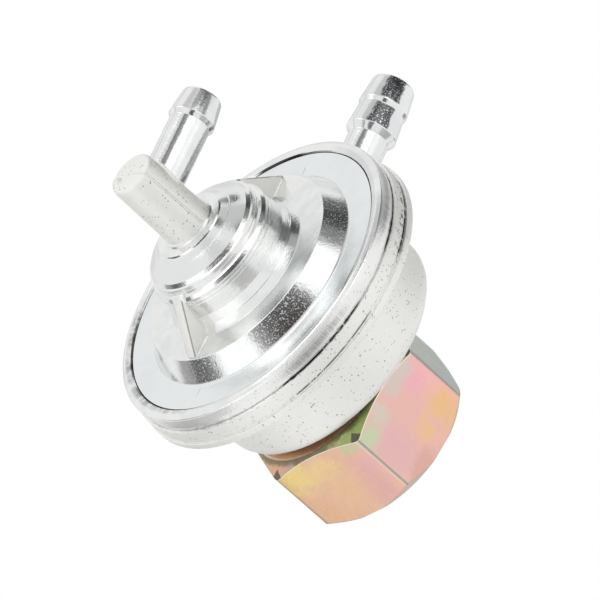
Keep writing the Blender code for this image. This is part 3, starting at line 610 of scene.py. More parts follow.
@dataclass(frozen=True)
class YellowChromate:
    """Iridescent yellow chromate on a steel nut, blotched pink, orange and green, with painted
    highlights, a painted reflection and painted shade at its edges, corners and chamfer.
    """

    name: str = "yellow_chromate"
    roughness: float = 0.30
    first_corner: float = 10.0
    face_hues: tuple[tuple[float, float, float], ...] = (
        (0.90, 0.60, 0.42), (0.82, 0.54, 0.47), (0.86, 0.62, 0.40),
        (0.55, 0.60, 0.54), (0.90, 0.55, 0.48), (0.94, 0.60, 0.43))
    blots: tuple[Blot, ...] = (
        Blot(64.0, 22.0, 9.0, 6.0, (0.98, 0.54, 0.52)),
        Blot(72.0, 18.6, 8.0, 2.2, (0.96, 0.50, 0.54)),
        Blot(70.0, 24.6, 11.0, 2.6, (0.93, 0.58, 0.30)),
        Blot(88.0, 24.4, 9.0, 1.9, (0.94, 0.58, 0.34)),
        Blot(79.0, 17.0, 17.0, 1.6, (0.74, 0.64, 0.58)),
        Blot(108.0, 21.0, 13.0, 4.6, (0.86, 0.52, 0.52)),
        Blot(100.0, 17.4, 9.0, 1.7, (0.76, 0.66, 0.56)),
        Blot(113.0, 17.8, 8.0, 2.0, (0.66, 0.70, 0.48)),
        Blot(104.0, 26.4, 12.0, 1.4, (0.80, 0.47, 0.40)),
        Blot(170.0, 18.2, 12.0, 2.8, (1.0, 0.78, 0.32)),
        Blot(153.0, 19.0, 11.0, 2.4, (1.0, 0.72, 0.38)),
        Blot(150.0, 22.6, 14.0, 3.0, (0.97, 0.62, 0.40)),
        Blot(173.0, 24.8, 14.0, 2.8, (0.93, 0.57, 0.36)),
        Blot(127.0, 17.3, 6.0, 1.5, (0.66, 0.72, 0.44)),
        Blot(127.0, 20.8, 9.0, 3.2, (0.93, 0.54, 0.52)),
        Blot(132.0, 24.8, 12.0, 3.2, (0.90, 0.53, 0.47)),
        Blot(-165.0, 18.5, 10.0, 2.4, (0.96, 0.72, 0.34)),
        Blot(-140.0, 24.0, 12.0, 3.0, (0.86, 0.46, 0.46)),
        Blot(-128.0, 18.0, 7.0, 2.0, (0.62, 0.68, 0.42)),
        Blot(-105.0, 23.0, 12.0, 3.0, (0.93, 0.62, 0.34)),
        Blot(-78.0, 19.0, 12.0, 2.5, (0.66, 0.66, 0.50)),
        Blot(-45.0, 21.0, 12.0, 3.5, (0.90, 0.50, 0.46)),
        Blot(-18.0, 24.0, 12.0, 2.5, (0.95, 0.70, 0.36)),
        Blot(-12.0, 18.0, 8.0, 2.0, (0.62, 0.68, 0.44)),
        Blot(20.0, 19.0, 14.0, 3.0, (0.60, 0.62, 0.50)),
        Blot(44.0, 25.0, 10.0, 2.5, (0.52, 0.58, 0.55)),
    )

    def material(self) -> bpy.types.Material:
        """Build the material.

        Returns:
            The finished material.
        """
        material, g = new_graph(self.name)
        x, y, z = g.parts(g.place())
        level = z + SEAL_LEVEL
        turn = math.radians(self.first_corner)
        angle = g.angle(y * math.cos(turn) - x * math.sin(turn),
                        x * math.cos(turn) + y * math.sin(turn)) * math.degrees(1.0)
        side = g.node("ShaderNodeMath", {"operation": "FLOOR"}, {"Value": angle / 60.0})
        drift = g.noise(330.0, 3.0, 0.55)
        speck = g.noise(1100.0, 4.0, 0.65)
        ragged = (drift - 0.5) * 2.2 + (speck - 0.5) * 0.9

        stops = []
        for index, hue in enumerate(self.face_hues):
            stops += [((index + 0.01) / 6.0, hue), ((index + 0.99) / 6.0, hue)]
        tone = g.ramp(angle / 360.0 + 0.5, stops)
        for blot in self.blots:
            on_side = g.node("ShaderNodeMath", {"operation": "COMPARE"}, {
                "Value": side, "Value_001": math.floor(blot.angle / 60.0),
                "Value_002": 0.5})
            across = (angle - blot.angle) / blot.width
            along = (level - blot.level * MM) / (blot.height * MM)
            away = (across * across + along * along) ** 0.5 + ragged
            cloud = (1.0 - g.step(away, 0.25, 1.45)) * on_side
            tone = g.mix(tone, blot.colour, cloud)

        across = (x * x + y * y) ** 0.5
        slant = (level - 15.7 * MM) - (across - 10.65 * MM) * math.tan(math.radians(30.0))
        chamfer = 1.0 - g.step(slant, 0.02 * MM, 0.10 * MM)
        rust = g.ramp(angle / 360.0 + 0.5 + (drift - 0.5) * 0.05, [
            (0.0, (0.80, 0.46, 0.30)), (0.10, (0.52, 0.44, 0.28)),
            (0.30, (0.40, 0.46, 0.20)), (0.50, (0.55, 0.40, 0.30)),
            (0.70, (0.44, 0.48, 0.24)), (0.77, (0.36, 0.46, 0.14)),
            (0.85, (0.42, 0.52, 0.18)), (0.90, (0.52, 0.42, 0.32)),
            (0.96, (0.62, 0.42, 0.36)), (1.0, (0.80, 0.46, 0.30))])
        tone = g.mix(tone, rust, chamfer)
        # Painted shade: the inner part of the chamfer, next to the cup, is darkened.
        tone = g.mix(tone, (0.16, 0.15, 0.08), chamfer * (
            1.0 - g.step(across + (speck - 0.5) * (1.6 * MM), 10.8 * MM, 11.5 * MM)) * 0.8)
        ridge = g.node("ShaderNodeMath", {"operation": "PINGPONG"},
                       {"Value": angle, "Value_001": 30.0})
        # Painted shade: dark pockets on the outer part of the chamfer, at the corners.
        corner_pocket_shade = chamfer * g.step(
            (across - 11.4 * MM) * (4.6 / MM) - ridge + (speck - 0.5) * 2.0, 0.0, 0.9)
        tone = g.mix(tone, (0.12, 0.11, 0.09), corner_pocket_shade * 0.9)
        # Painted reflection: a grey-green line along the rounded corners, strongest round the
        # corner at 120 degrees.
        front_edge = 1.0 - g.step((angle - 120.0).size(), 20.0, 25.0)
        corner = (1.0 - g.step(ridge, 0.35, 1.0)) * (1.0 - chamfer)
        # Painted highlight: pale lines on both sides of the corner at 120 degrees.
        corner_highlights = g.band(ridge, 0.8, 1.3, 0.3) * (1.0 - chamfer) * front_edge
        tone = g.mix(tone, (0.62, 0.66, 0.54), corner * (front_edge * 0.5 + 0.3))
        tone = g.mix(tone, (0.92, 0.88, 0.80), corner_highlights * 0.45)
        # Painted highlight: a thin pale line along the edge of the chamfer.
        edge = g.band(slant, 0.06 * MM, 0.18 * MM, 0.04 * MM)
        tone = g.mix(tone, (0.98, 0.94, 0.80), edge * 0.85)
        # Painted shade: a thin dark line along the far rounded edge.
        far_edge_shade = g.step(level + (across - 11.15 * MM), 27.05 * MM, 27.2 * MM)
        tone = g.mix(tone, (0.52, 0.44, 0.34), far_edge_shade * 0.7)
        tone = g.mix(tone, (0.86, 0.72, 0.68), g.step(speck, 0.60, 0.74) * 0.3)
        gloss = self.roughness + (speck - 0.5) * 0.14 + (drift - 0.5) * 0.1
        normal = g.bump(speck, 0.02 * MM)
        normal = g.bump(drift, 0.05 * MM, normal)
        g.surface({"Metallic": 1.0},
                  {"Base Color": tone, "Roughness": gloss, "Normal": normal})
        return material


@dataclass(frozen=True)
class TurnedMetal:
    """Plain metal of the small parts, with a drawn or turned grain and stains."""

    name: str
    colour: tuple[float, float, float]
    stain: tuple[float, float, float]
    roughness: float = 0.3
    grain: float = 2500.0

    def material(self) -> bpy.types.Material:
        """Build the material.

        Returns:
            The finished material.
        """
        material, g = new_graph(self.name)
        fine = g.noise(self.grain, 3.0, 0.6)
        broad = g.noise(self.grain / 9.0, 3.0, 0.55)
        tone = g.mix(self.colour, self.stain, g.step(broad, 0.45, 0.75))
        gloss = self.roughness + (fine - 0.5) * 0.16 + (broad - 0.5) * 0.12
        g.surface({"Metallic": 1.0},
                  {"Base Color": tone, "Roughness": gloss,
                   "Normal": g.bump(fine, 0.008 * MM)})
        return material


@dataclass(frozen=True)
class MouldedSheet:
    """Rubber or pressed fibre with a matt, slightly uneven skin."""

    name: str
    colour: tuple[float, float, float]
    dust: tuple[float, float, float]
    roughness: float = 0.6
    grain: float = 2200.0

    def material(self) -> bpy.types.Material:
        """Build the material.

        Returns:
            The finished material.
        """
        material, g = new_graph(self.name)
        fine = g.noise(self.grain, 4.0, 0.65)
        broad = g.noise(self.grain / 8.0, 2.0, 0.5)
        tone = g.mix(self.colour, self.dust, g.step(fine * 0.5 + broad * 0.5, 0.50, 0.70) * 0.6)
        gloss = self.roughness + (broad - 0.5) * 0.2
        g.surface({"Metallic": 0.0},
                  {"Base Color": tone, "Roughness": gloss,
                   "Normal": g.bump(fine, 0.02 * MM)})
        return material


# Modelling by hand


@dataclass(frozen=True)
class Station:
    """One corner of a turned outline: radius, level and the rounding of the corner."""

    radius: float
    level: float
    rounding: float = 0.0


def outline(stations: Sequence[Station], steps: int = 5) -> list[tuple[float, float]]:
    """Turn corners with roundings into points.

    Args:
        stations: The corners in order, in millimetres.
        steps: Straight pieces of each rounded corner.

    Returns:
        The (radius, level) points in metres.
    """
    points: list[tuple[float, float]] = []
    for index, station in enumerate(stations):
        here = Vector((station.radius, station.level))
        if station.rounding == 0.0 or index in (0, len(stations) - 1):
            points.append((here.x * MM, here.y * MM))
            continue
        before = Vector((stations[index - 1].radius, stations[index - 1].level)) - here
        after = Vector((stations[index + 1].radius, stations[index + 1].level)) - here
        half = before.angle(after) / 2
        cut = min(station.rounding / math.tan(half),
                  0.49 * before.length, 0.49 * after.length)
        start = here + before.normalized() * cut
        end = here + after.normalized() * cut
        for k in range(steps + 1):
            t = k / steps
            bend = (1 - t) ** 2 * start + 2 * t * (1 - t) * here + t ** 2 * end
            points.append((bend.x * MM, bend.y * MM))
    return points


class Axis(Enum):
    """Direction that a form is turned about."""

    Z = (0.0, 0.0, 1.0)
    X = (1.0, 0.0, 0.0)


class Bench:
    """The hand tools: every form is a primitive shaped in edit mode."""

    @staticmethod
    def clear() -> None:
        """Leave edit mode and deselect everything."""
        if bpy.context.mode != "OBJECT":
            bpy.ops.object.mode_set(mode="OBJECT")
        bpy.ops.object.select_all(action="DESELECT")

    @staticmethod
    def take(piece: bpy.types.Object) -> None:
        """Select one object and make it active."""
        Bench.clear()
        piece.select_set(True)
        bpy.context.view_layer.objects.active = piece

    @staticmethod
    def start_edit(piece: bpy.types.Object) -> None:
        """Open one object in edit mode with nothing selected."""
        Bench.take(piece)
        bpy.ops.object.mode_set(mode="EDIT")
        bpy.ops.mesh.select_all(action="DESELECT")

    @staticmethod
    def tidy(piece: bpy.types.Object, merge: float = 0.002 * MM) -> None:
        """Merge doubles and turn all faces outwards."""
        Bench.start_edit(piece)
        bpy.ops.mesh.select_all(action="SELECT")
        bpy.ops.mesh.remove_doubles(threshold=merge)
        bpy.ops.mesh.normals_make_consistent(inside=False)
        Bench.clear()

    @staticmethod
    def trace(name: str, path: Sequence[Vector]) -> bpy.types.Object:
        """Draw a line of edges by extruding one vertex from point to point.

        Args:
            name: Name of the piece.
            path: The points.

        Returns:
            The piece, left open in edit mode.
        """
        Bench.clear()
        bpy.ops.mesh.primitive_plane_add(size=MM, location=(0.0, 0.0, 0.0))
        piece = bpy.context.active_object
        piece.name = name
        piece.data.name = name
        bpy.ops.object.mode_set(mode="EDIT")
        bpy.ops.mesh.select_mode(type="VERT")
        bpy.ops.mesh.select_all(action="SELECT")
        bpy.ops.mesh.merge(type="CENTER")
        bpy.ops.transform.translate(value=path[0])
        for here, there in zip(path, path[1:]):
            bpy.ops.mesh.extrude_region_move(
                TRANSFORM_OT_translate={"value": there - here})
        return piece

    @staticmethod
    def turn(name: str, points: Sequence[tuple[float, float]], centre: Vector,
             axis: Axis, steps: int, closed: bool) -> bpy.types.Object:
        """Spin an outline about an axis.

        Args:
            name: Name of the piece.
            points: (radius, distance along the axis) in metres.
            centre: Point of the axis that distances are measured from.
            axis: Direction of the axis.
            steps: Number of steps round the axis.
            closed: Whether the outline's ends are joined to each other.

        Returns:
            The turned piece, its place in its mesh.
        """
        along = Vector(axis.value)
        outward = Vector((1.0, 0.0, 0.0)) if axis is Axis.Z else Vector((0.0, 0.0, 1.0))
        path = [centre + outward * radius + along * at for radius, at in points]
        if closed:
            path.append(path[0])
        piece = Bench.trace(name, path)
        bpy.ops.mesh.select_all(action="SELECT")
        bpy.ops.mesh.spin(steps=steps, angle=math.tau, center=centre, axis=along)
        Bench.clear()
        Bench.tidy(piece)
        return piece

    @staticmethod
    def apply(piece: bpy.types.Object, kind: str, **settings: object) -> None:
        """Add one modifier with its settings and apply it."""
        Bench.take(piece)
        modifier = piece.modifiers.new(kind.lower(), kind)
        for key, value in settings.items():
            setattr(modifier, key, value)
        bpy.ops.object.modifier_apply(modifier=modifier.name)

    @staticmethod
    def combine(piece: bpy.types.Object, other: bpy.types.Object, operation: str) -> None:
        """Join, cut or intersect a piece with another form, which is used up."""
        Bench.apply(piece, "BOOLEAN", operation=operation, solver="EXACT", object=other)
        bpy.data.objects.remove(other, do_unlink=True)

    @staticmethod
    def pick_edges(piece: bpy.types.Object,
                   wanted: Callable[[bmesh.types.BMEdge], bool]) -> None:
        """Select the edges that a test wants, in an object open in edit mode.

        Args:
            piece: The open object.
            wanted: Test of one edge.
        """
        bpy.ops.mesh.select_mode(type="EDGE")
        shape = bmesh.from_edit_mesh(piece.data)
        for edge in shape.edges:
            if wanted(edge):
                edge.select = True
        bmesh.update_edit_mesh(piece.data)

    @staticmethod
    def copy_of(source: bpy.types.Object, name: str) -> bpy.types.Object:
        """Return a new object at the origin with its own copy of a mesh."""
        piece = bpy.data.objects.new(name, source.data.copy())
        bpy.context.scene.collection.objects.link(piece)
        return piece

    @staticmethod
    def shade(piece: bpy.types.Object, angle: float = 32.0) -> None:
        """Shade smooth except across edges sharper than an angle in degrees."""
        Bench.take(piece)
        bpy.ops.object.shade_smooth_by_angle(angle=math.radians(angle))
        Bench.clear()


def dress(piece: bpy.types.Object, material: bpy.types.Material) -> None:
    """Give a new piece its one material."""
    piece.data.materials.clear()
    piece.data.materials.append(material)


def report(piece: bpy.types.Object) -> None:
    """Log a finished piece."""
    LOG.info("%s: %d faces", piece.name, len(piece.data.polygons))


# Sub-assemblies


@dataclass
class HoseNipple:
    """A barbed tube along X with its bore. Sizes in millimetres."""

    name: str
    level: float
    start: float
    corners: list[Station]
    bore: float
    bore_start: float
    steps: int = 96

    def centre(self) -> Vector:
        """Return the point of the nipple's axis under the diaphragm axis."""
        return Vector((VALVE_X, 0.0, self.level * MM - SEAL_LEVEL))

    def tube(self) -> bpy.types.Object:
        """Build the outside of the tube as one closed form."""
        tip = self.corners[-1]
        stations = [Station(0.0, self.start), Station(self.corners[0].radius, self.start)]
        stations += self.corners
        stations += [Station(0.0, tip.level)]
        return Bench.turn(self.name, outline(stations), self.centre(), Axis.X,
                          self.steps, closed=False)

    def drill(self) -> bpy.types.Object:
        """Build the form that cuts the bore and breaks its mouth."""
        reach = self.corners[-1].level
        stations = [
            Station(0.0, self.bore_start),
            Station(self.bore, self.bore_start),
            Station(self.bore, reach - 0.3, 0.25),
            Station(self.bore + 0.3, reach + 0.01),
            Station(self.bore + 1.3, reach + 1.0),
            Station(0.0, reach + 1.0),
        ]
        return Bench.turn(f"{self.name}_drill", outline(stations), self.centre(), Axis.X,
                          self.steps, closed=False)


@dataclass
class BodyCasting:
    """Cup, rolled rim, neck and fuel nipple in one zinc casting. Sizes in millimetres."""

    rim_nose: float = 19.7
    rim_rolled: float = 20.0
    rim_seam: float = 2.37
    rim_cast: float = 20.3
    rim_cast_end: float = 3.96
    groove_width: float = 0.49
    groove_depth: float = 0.14
    flange: float = 20.5
    flange_back: float = 5.4
    cup: float = 15.5
    cup_face: float = 15.1
    cup_corner: float = 2.6
    chamber: float = 13.5
    chamber_ceiling: float = 10.4
    neck: float = 6.2
    neck_top: float = 19.71
    seam_reach: float = 0.9
    torn_height: float = 0.07
    torn_groove: float = 0.05
    wave_height: float = 0.04
    sunk_depth: float = 0.22
    sunk_angle: float = 155.0
    bite_depth: float = 0.05
    steps: int = 360
    neck_steps: int = 128
    nipple: HoseNipple = field(default_factory=lambda: HoseNipple(
        "fuel_tube", 6.72, 14.5, [
            Station(2.54, 25.1, 0.15),
            Station(3.16, 25.9, 0.25),
            Station(2.86, 29.1, 0.12),
            Station(3.08, 29.6, 0.25),
            Station(2.66, 33.1, 0.4),
        ], 1.6, 12.5))

    def shell(self) -> bpy.types.Object:
        """Turn the cup with its rim, chamber and valve seat."""
        groove = self.rim_cast - self.groove_depth
        groove_end = self.rim_cast_end + self.groove_width
        stations = [
            Station(0.0, self.cup_face),
            Station(self.cup, self.cup_face, self.cup_corner),
            Station(self.cup, self.flange_back, 0.6),
            Station(self.flange, self.flange_back, 0.3),
            Station(self.flange, groove_end, 0.08),
            Station(groove, groove_end - 0.05, 0.03),
            Station(groove + 0.05, self.rim_cast_end + 0.28, 0.03),
            Station(groove, self.rim_cast_end + 0.10, 0.03),
            Station(self.rim_cast, self.rim_cast_end - 0.02, 0.08),
            Station(self.rim_cast - 0.02, self.rim_seam + 0.7, 0.5),
            Station(self.rim_cast - 0.05, self.rim_seam + 0.10, 0.08),
            Station(self.rim_cast - 0.48, self.rim_seam + 0.05),
            Station(self.rim_cast - 0.48, self.rim_seam - 0.03),
            Station(self.rim_rolled - 0.06, self.rim_seam - 0.08, 0.05),
            Station(self.rim_rolled, self.rim_seam - 0.9, 0.6),
            Station(self.rim_rolled, 0.3, 0.35),
            Station(self.rim_nose - 0.25, 0.0, 0.4),
            Station(19.15, 0.0, 0.4),
            Station(18.60, 0.14, 0.2),
            Station(18.46, 0.34, 0.06),
            Station(18.5, 0.6, 0.1),
            Station(19.2, 0.9),
            Station(19.2, 3.7),
            Station(self.chamber, 3.7, 0.2),
            Station(self.chamber, self.chamber_ceiling, 1.2),
            Station(3.7, self.chamber_ceiling, 0.3),
            Station(3.3, 7.8, 0.1),
            Station(2.6, 7.8, 0.1),
            Station(2.4, 7.5, 0.1),
            Station(2.0, 7.5, 0.1),
            Station(1.8, 7.8),
            Station(1.8, 14.2),
            Station(0.0, 14.2),
        ]
        shell = Bench.turn("tap_body_casting", outline(stations), VALVE_AXIS, Axis.Z,
                           self.steps, closed=False)
        self.tear_edges(shell)
        return shell

    def tear_edges(self, shell: bpy.types.Object) -> None:
        """Make the rolled seam and the groove ragged, as the rolling leaves them.

        Args:
            shell: The turned shell, whose points are moved.
        """
        for point in shell.data.vertices:
            place = Vector((point.co.x - VALVE_X, point.co.y))
            radius, level = place.length / MM, (point.co.z + SEAL_LEVEL) / MM
            if radius < 19.3 or not 1.2 < level < 4.6:
                continue
            angle = math.atan2(place.y, place.x)
            turn = Vector((math.cos(angle), math.sin(angle), 0.0))
            wave = noise.noise(turn * 3.0)
            torn = noise.noise(turn * 26.0) + 0.6 * noise.noise(turn * 55.0)
            near_seam = max(0.0, 1.0 - abs(level - self.rim_seam) / self.seam_reach)
            sunk = max(0.0, math.cos(angle - math.radians(self.sunk_angle))) ** 8
            shift = near_seam * (self.torn_height * torn + self.wave_height * wave
                                 - self.sunk_depth * sunk)
            bite = 0.0
            if level < self.rim_seam and radius > self.rim_rolled - 0.2:
                bite = self.bite_depth * near_seam * max(0.0, torn)
            if level > self.rim_cast_end - 0.1:
                shift = self.torn_groove * torn
            point.co.z += shift * MM
            point.co.x -= bite * MM * turn.x
            point.co.y -= bite * MM * turn.y

    def neck_form(self) -> bpy.types.Object:
        """Turn the neck with the groove of the retaining ring."""
        top = self.neck_top
        stations = [
            Station(0.0, 14.6),
            Station(self.neck, 14.6),
            Station(self.neck, 17.5, 0.1),
            Station(5.7, 17.75, 0.2),
            Station(5.55, 18.35, 0.3),
            Station(5.7, 18.95, 0.2),
            Station(self.neck, 19.2, 0.1),
            Station(self.neck, top - 0.3),
            Station(self.neck - 0.3, top),
            Station(0.0, top),
        ]
        return Bench.turn("neck_form", outline(stations), NECK_AXIS, Axis.Z,
                          self.neck_steps, closed=False)

    def inlet(self) -> bpy.types.Object:
        """Turn the form that cuts the inlet bore."""
        stations = [Station(0.0, 11.9), Station(3.5, 11.9), Station(3.5, 19.45),
                    Station(4.8, 20.7), Station(0.0, 20.7)]
        return Bench.turn("inlet_form", outline(stations), NECK_AXIS, Axis.Z,
                          self.neck_steps, closed=False)

    def build(self) -> bpy.types.Object:
        """Build, dress and seat the casting.

        Returns:
            The finished piece.
        """
        body = self.shell()
        Bench.combine(body, self.neck_form(), "UNION")
        Bench.combine(body, self.nipple.tube(), "UNION")
        Bench.combine(body, self.inlet(), "DIFFERENCE")
        Bench.combine(body, self.nipple.drill(), "DIFFERENCE")
        Bench.tidy(body, 0.001 * MM)
        Bench.shade(body)
        dress(body, CastZinc("cast_zinc_body").material())
        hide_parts("body_casting")
        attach(body, "tap_body")
        report(body)
        return body


@dataclass
class CoverCasting:
    """Cover with drum, boss, post, gussets and vacuum nipple. Sizes in millimetres."""

    face: float = 0.4
    dish: float = 0.09
    drum_foot: float = 14.98
    drum_top: float = 13.26
    drum_level: float = -2.27
    boss_root: float = 8.8
    boss_waist: float = 8.65
    boss_flare: float = -7.0
    boss_rim: float = 7.65
    boss_rim_level: float = -9.0
    post_foot: float = 4.63
    post_foot_level: float = -10.7
    post_root: float = 3.1
    post_tip: float = 2.94
    post_end: float = -20.8
    gusset_thickness: float = 1.3
    gusset_taper: float = 0.35
    gusset_end: float = 0.3
    gusset_bevel: float = 0.12
    gate_angle: float = 240.0
    gate_radius: float = 2.1
    steps: int = 240
    nipple: HoseNipple = field(default_factory=lambda: HoseNipple(
        "vacuum_tube", -16.5, 0.0, [
            Station(2.5, 10.1, 0.12),
            Station(2.87, 10.7, 0.2),
            Station(2.42, 14.1, 0.4),
        ], 1.3, 0.0))

    def disc(self) -> bpy.types.Object:
        """Turn the cover from its flange to the end of the post."""
        flare = self.boss_flare
        stations = [
            Station(12.4, 2.0),
            Station(19.1, 2.0),
            Station(19.1, 0.95),
            Station(18.42, 0.66),
            Station(18.34, self.face - self.dish, 0.05),
            Station(self.drum_foot, self.face + self.dish, 0.6),
            Station(self.drum_top, self.drum_level, 0.18),
            Station(self.boss_root + 1.2, self.drum_level, 0.5),
            Station(self.boss_root + 0.40, self.drum_level - 0.85, 0.3),
            Station(self.boss_root - 0.07, self.drum_level - 1.95, 0.1),
            Station(self.boss_waist - 0.02, flare + 0.98, 0.05),
            Station(self.boss_waist - 0.09, flare + 0.92, 0.03),
            Station(self.boss_waist - 0.09, flare + 0.84, 0.03),
            Station(self.boss_waist - 0.02, flare + 0.78, 0.04),
            Station(self.boss_waist - 0.03, flare + 0.52, 0.04),
            Station(self.boss_waist - 0.09, flare + 0.46, 0.03),
            Station(self.boss_waist - 0.09, flare + 0.38, 0.03),
            Station(self.boss_waist, flare + 0.32, 0.04),
            Station(self.boss_waist, flare - 0.06, 0.04),
            Station(self.boss_waist - 0.29, flare - 0.46, 0.03),
            Station(self.boss_rim + 0.35, flare - 0.60, 0.04),
            Station(self.boss_rim + 0.33, flare - 0.95, 0.03),
            Station(self.boss_rim + 0.27, flare - 1.0, 0.03),
            Station(self.boss_rim + 0.29, self.boss_rim_level + 0.53, 0.04),
            Station(self.boss_rim + 0.01, self.boss_rim_level + 0.45, 0.03),
            Station(self.boss_rim - 0.32, self.boss_rim_level, 0.05),
            Station(5.75, -9.98, 0.3),
            Station(5.55, -9.96, 0.1),
            Station(self.post_foot + 0.12, -10.5, 0.08),
            Station(self.post_foot, self.post_foot_level, 0.06),
            Station(self.post_root + 0.42, self.post_foot_level - 0.02, 0.08),
            Station(self.post_root + 0.36, self.post_foot_level - 0.32, 0.06),
            Station(self.post_root + 0.02, self.post_foot_level - 0.42, 0.08),
            Station(self.post_tip, self.post_end, 0.5),
            Station(0.0, self.post_end),
            Station(0.0, self.boss_rim_level + 1.8),
            Station(6.3, self.boss_rim_level + 1.8, 0.4),
            Station(6.3, -0.77, 0.2),
            Station(11.8, -0.77, 0.4),
        ]
        return Bench.turn("tap_cover_casting", outline(stations), VALVE_AXIS, Axis.Z,
                          self.steps, closed=True)

    def gusset(self, side: float) -> bpy.types.Object:
        """Build one triangular rib from the boss to the edge of the drum.

        Args:
            side: 1.0 for the rib on +X, -1.0 for the one on -X.

        Returns:
            The rib as a closed form.
        """
        top = self.boss_flare - 0.75
        toe = self.drum_top - 0.25
        inner = self.boss_waist - 0.85
        end = self.drum_level - self.gusset_end
        slope = (end - top) / (toe - self.boss_waist)
        crest = top - 0.25
        path = [(inner, crest), (self.boss_waist - 0.25 / slope, crest),
                (toe, end), (toe + 0.08, end + 0.1),
                (toe + 0.2, self.drum_level + 0.8), (inner, self.drum_level + 0.8)]
        half = self.gusset_thickness / 2 * MM
        places = [Vector((VALVE_X + side * r * MM, -half, s * MM - SEAL_LEVEL))
                  for r, s in path]
        rib = Bench.trace("gusset_form", places + places[:1])
        bpy.ops.mesh.select_all(action="SELECT")
        bpy.ops.mesh.remove_doubles(threshold=0.002 * MM)
        bpy.ops.mesh.edge_face_add()
        bpy.ops.mesh.extrude_region_move(
            TRANSFORM_OT_translate={"value": (0.0, 2 * half, 0.0)})
        bpy.ops.mesh.select_all(action="SELECT")
        bpy.ops.mesh.normals_make_consistent(inside=False)
        bpy.ops.mesh.bevel(offset=self.gusset_bevel * MM, segments=2, affect="EDGES")
        Bench.clear()
        for point in rib.data.vertices:
            reach = abs(point.co.x - VALVE_X) / MM
            point.co.y *= 1.0 + self.gusset_taper * (toe - reach) / (toe - inner)
        return rib

    def gate(self) -> bpy.types.Object:
        """Turn the broken casting gate on the edge of the post's end."""
        angle = math.radians(self.gate_angle)
        centre = VALVE_AXIS + Vector((math.cos(angle), math.sin(angle), 0.0)) * (
            self.gate_radius * MM)
        end = self.post_end
        stations = [Station(0.0, end + 0.6), Station(0.75, end + 0.6),
                    Station(0.7, end - 0.05, 0.1), Station(0.35, end - 0.35, 0.1),
                    Station(0.0, end - 0.3)]
        return Bench.turn("gate_form", outline(stations), centre, Axis.Z, 24, closed=False)

    def passage(self) -> bpy.types.Object:
        """Turn the form that cuts the air passage inside the post."""
        stations = [Station(0.0, self.boss_rim_level + 2.8),
                    Station(1.5, self.boss_rim_level + 2.8),
                    Station(1.5, self.nipple.level - 0.65),
                    Station(0.0, self.nipple.level - 1.65)]
        return Bench.turn("passage_form", outline(stations), VALVE_AXIS, Axis.Z, 64,
                          closed=False)

    def build(self) -> bpy.types.Object:
        """Build, dress and seat the casting.

        Returns:
            The finished piece.
        """
        cover = self.disc()
        for form in (self.gusset(1.0), self.gusset(-1.0), self.nipple.tube(), self.gate()):
            Bench.combine(cover, form, "UNION")
        for form in (self.passage(), self.nipple.drill()):
            Bench.combine(cover, form, "DIFFERENCE")
        Bench.tidy(cover, 0.001 * MM)
        Bench.shade(cover)
        dress(cover, CastZinc("cast_zinc_cover").material())
        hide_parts("cover_casting")
        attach(cover, "tap_body")
        report(cover)
        return cover


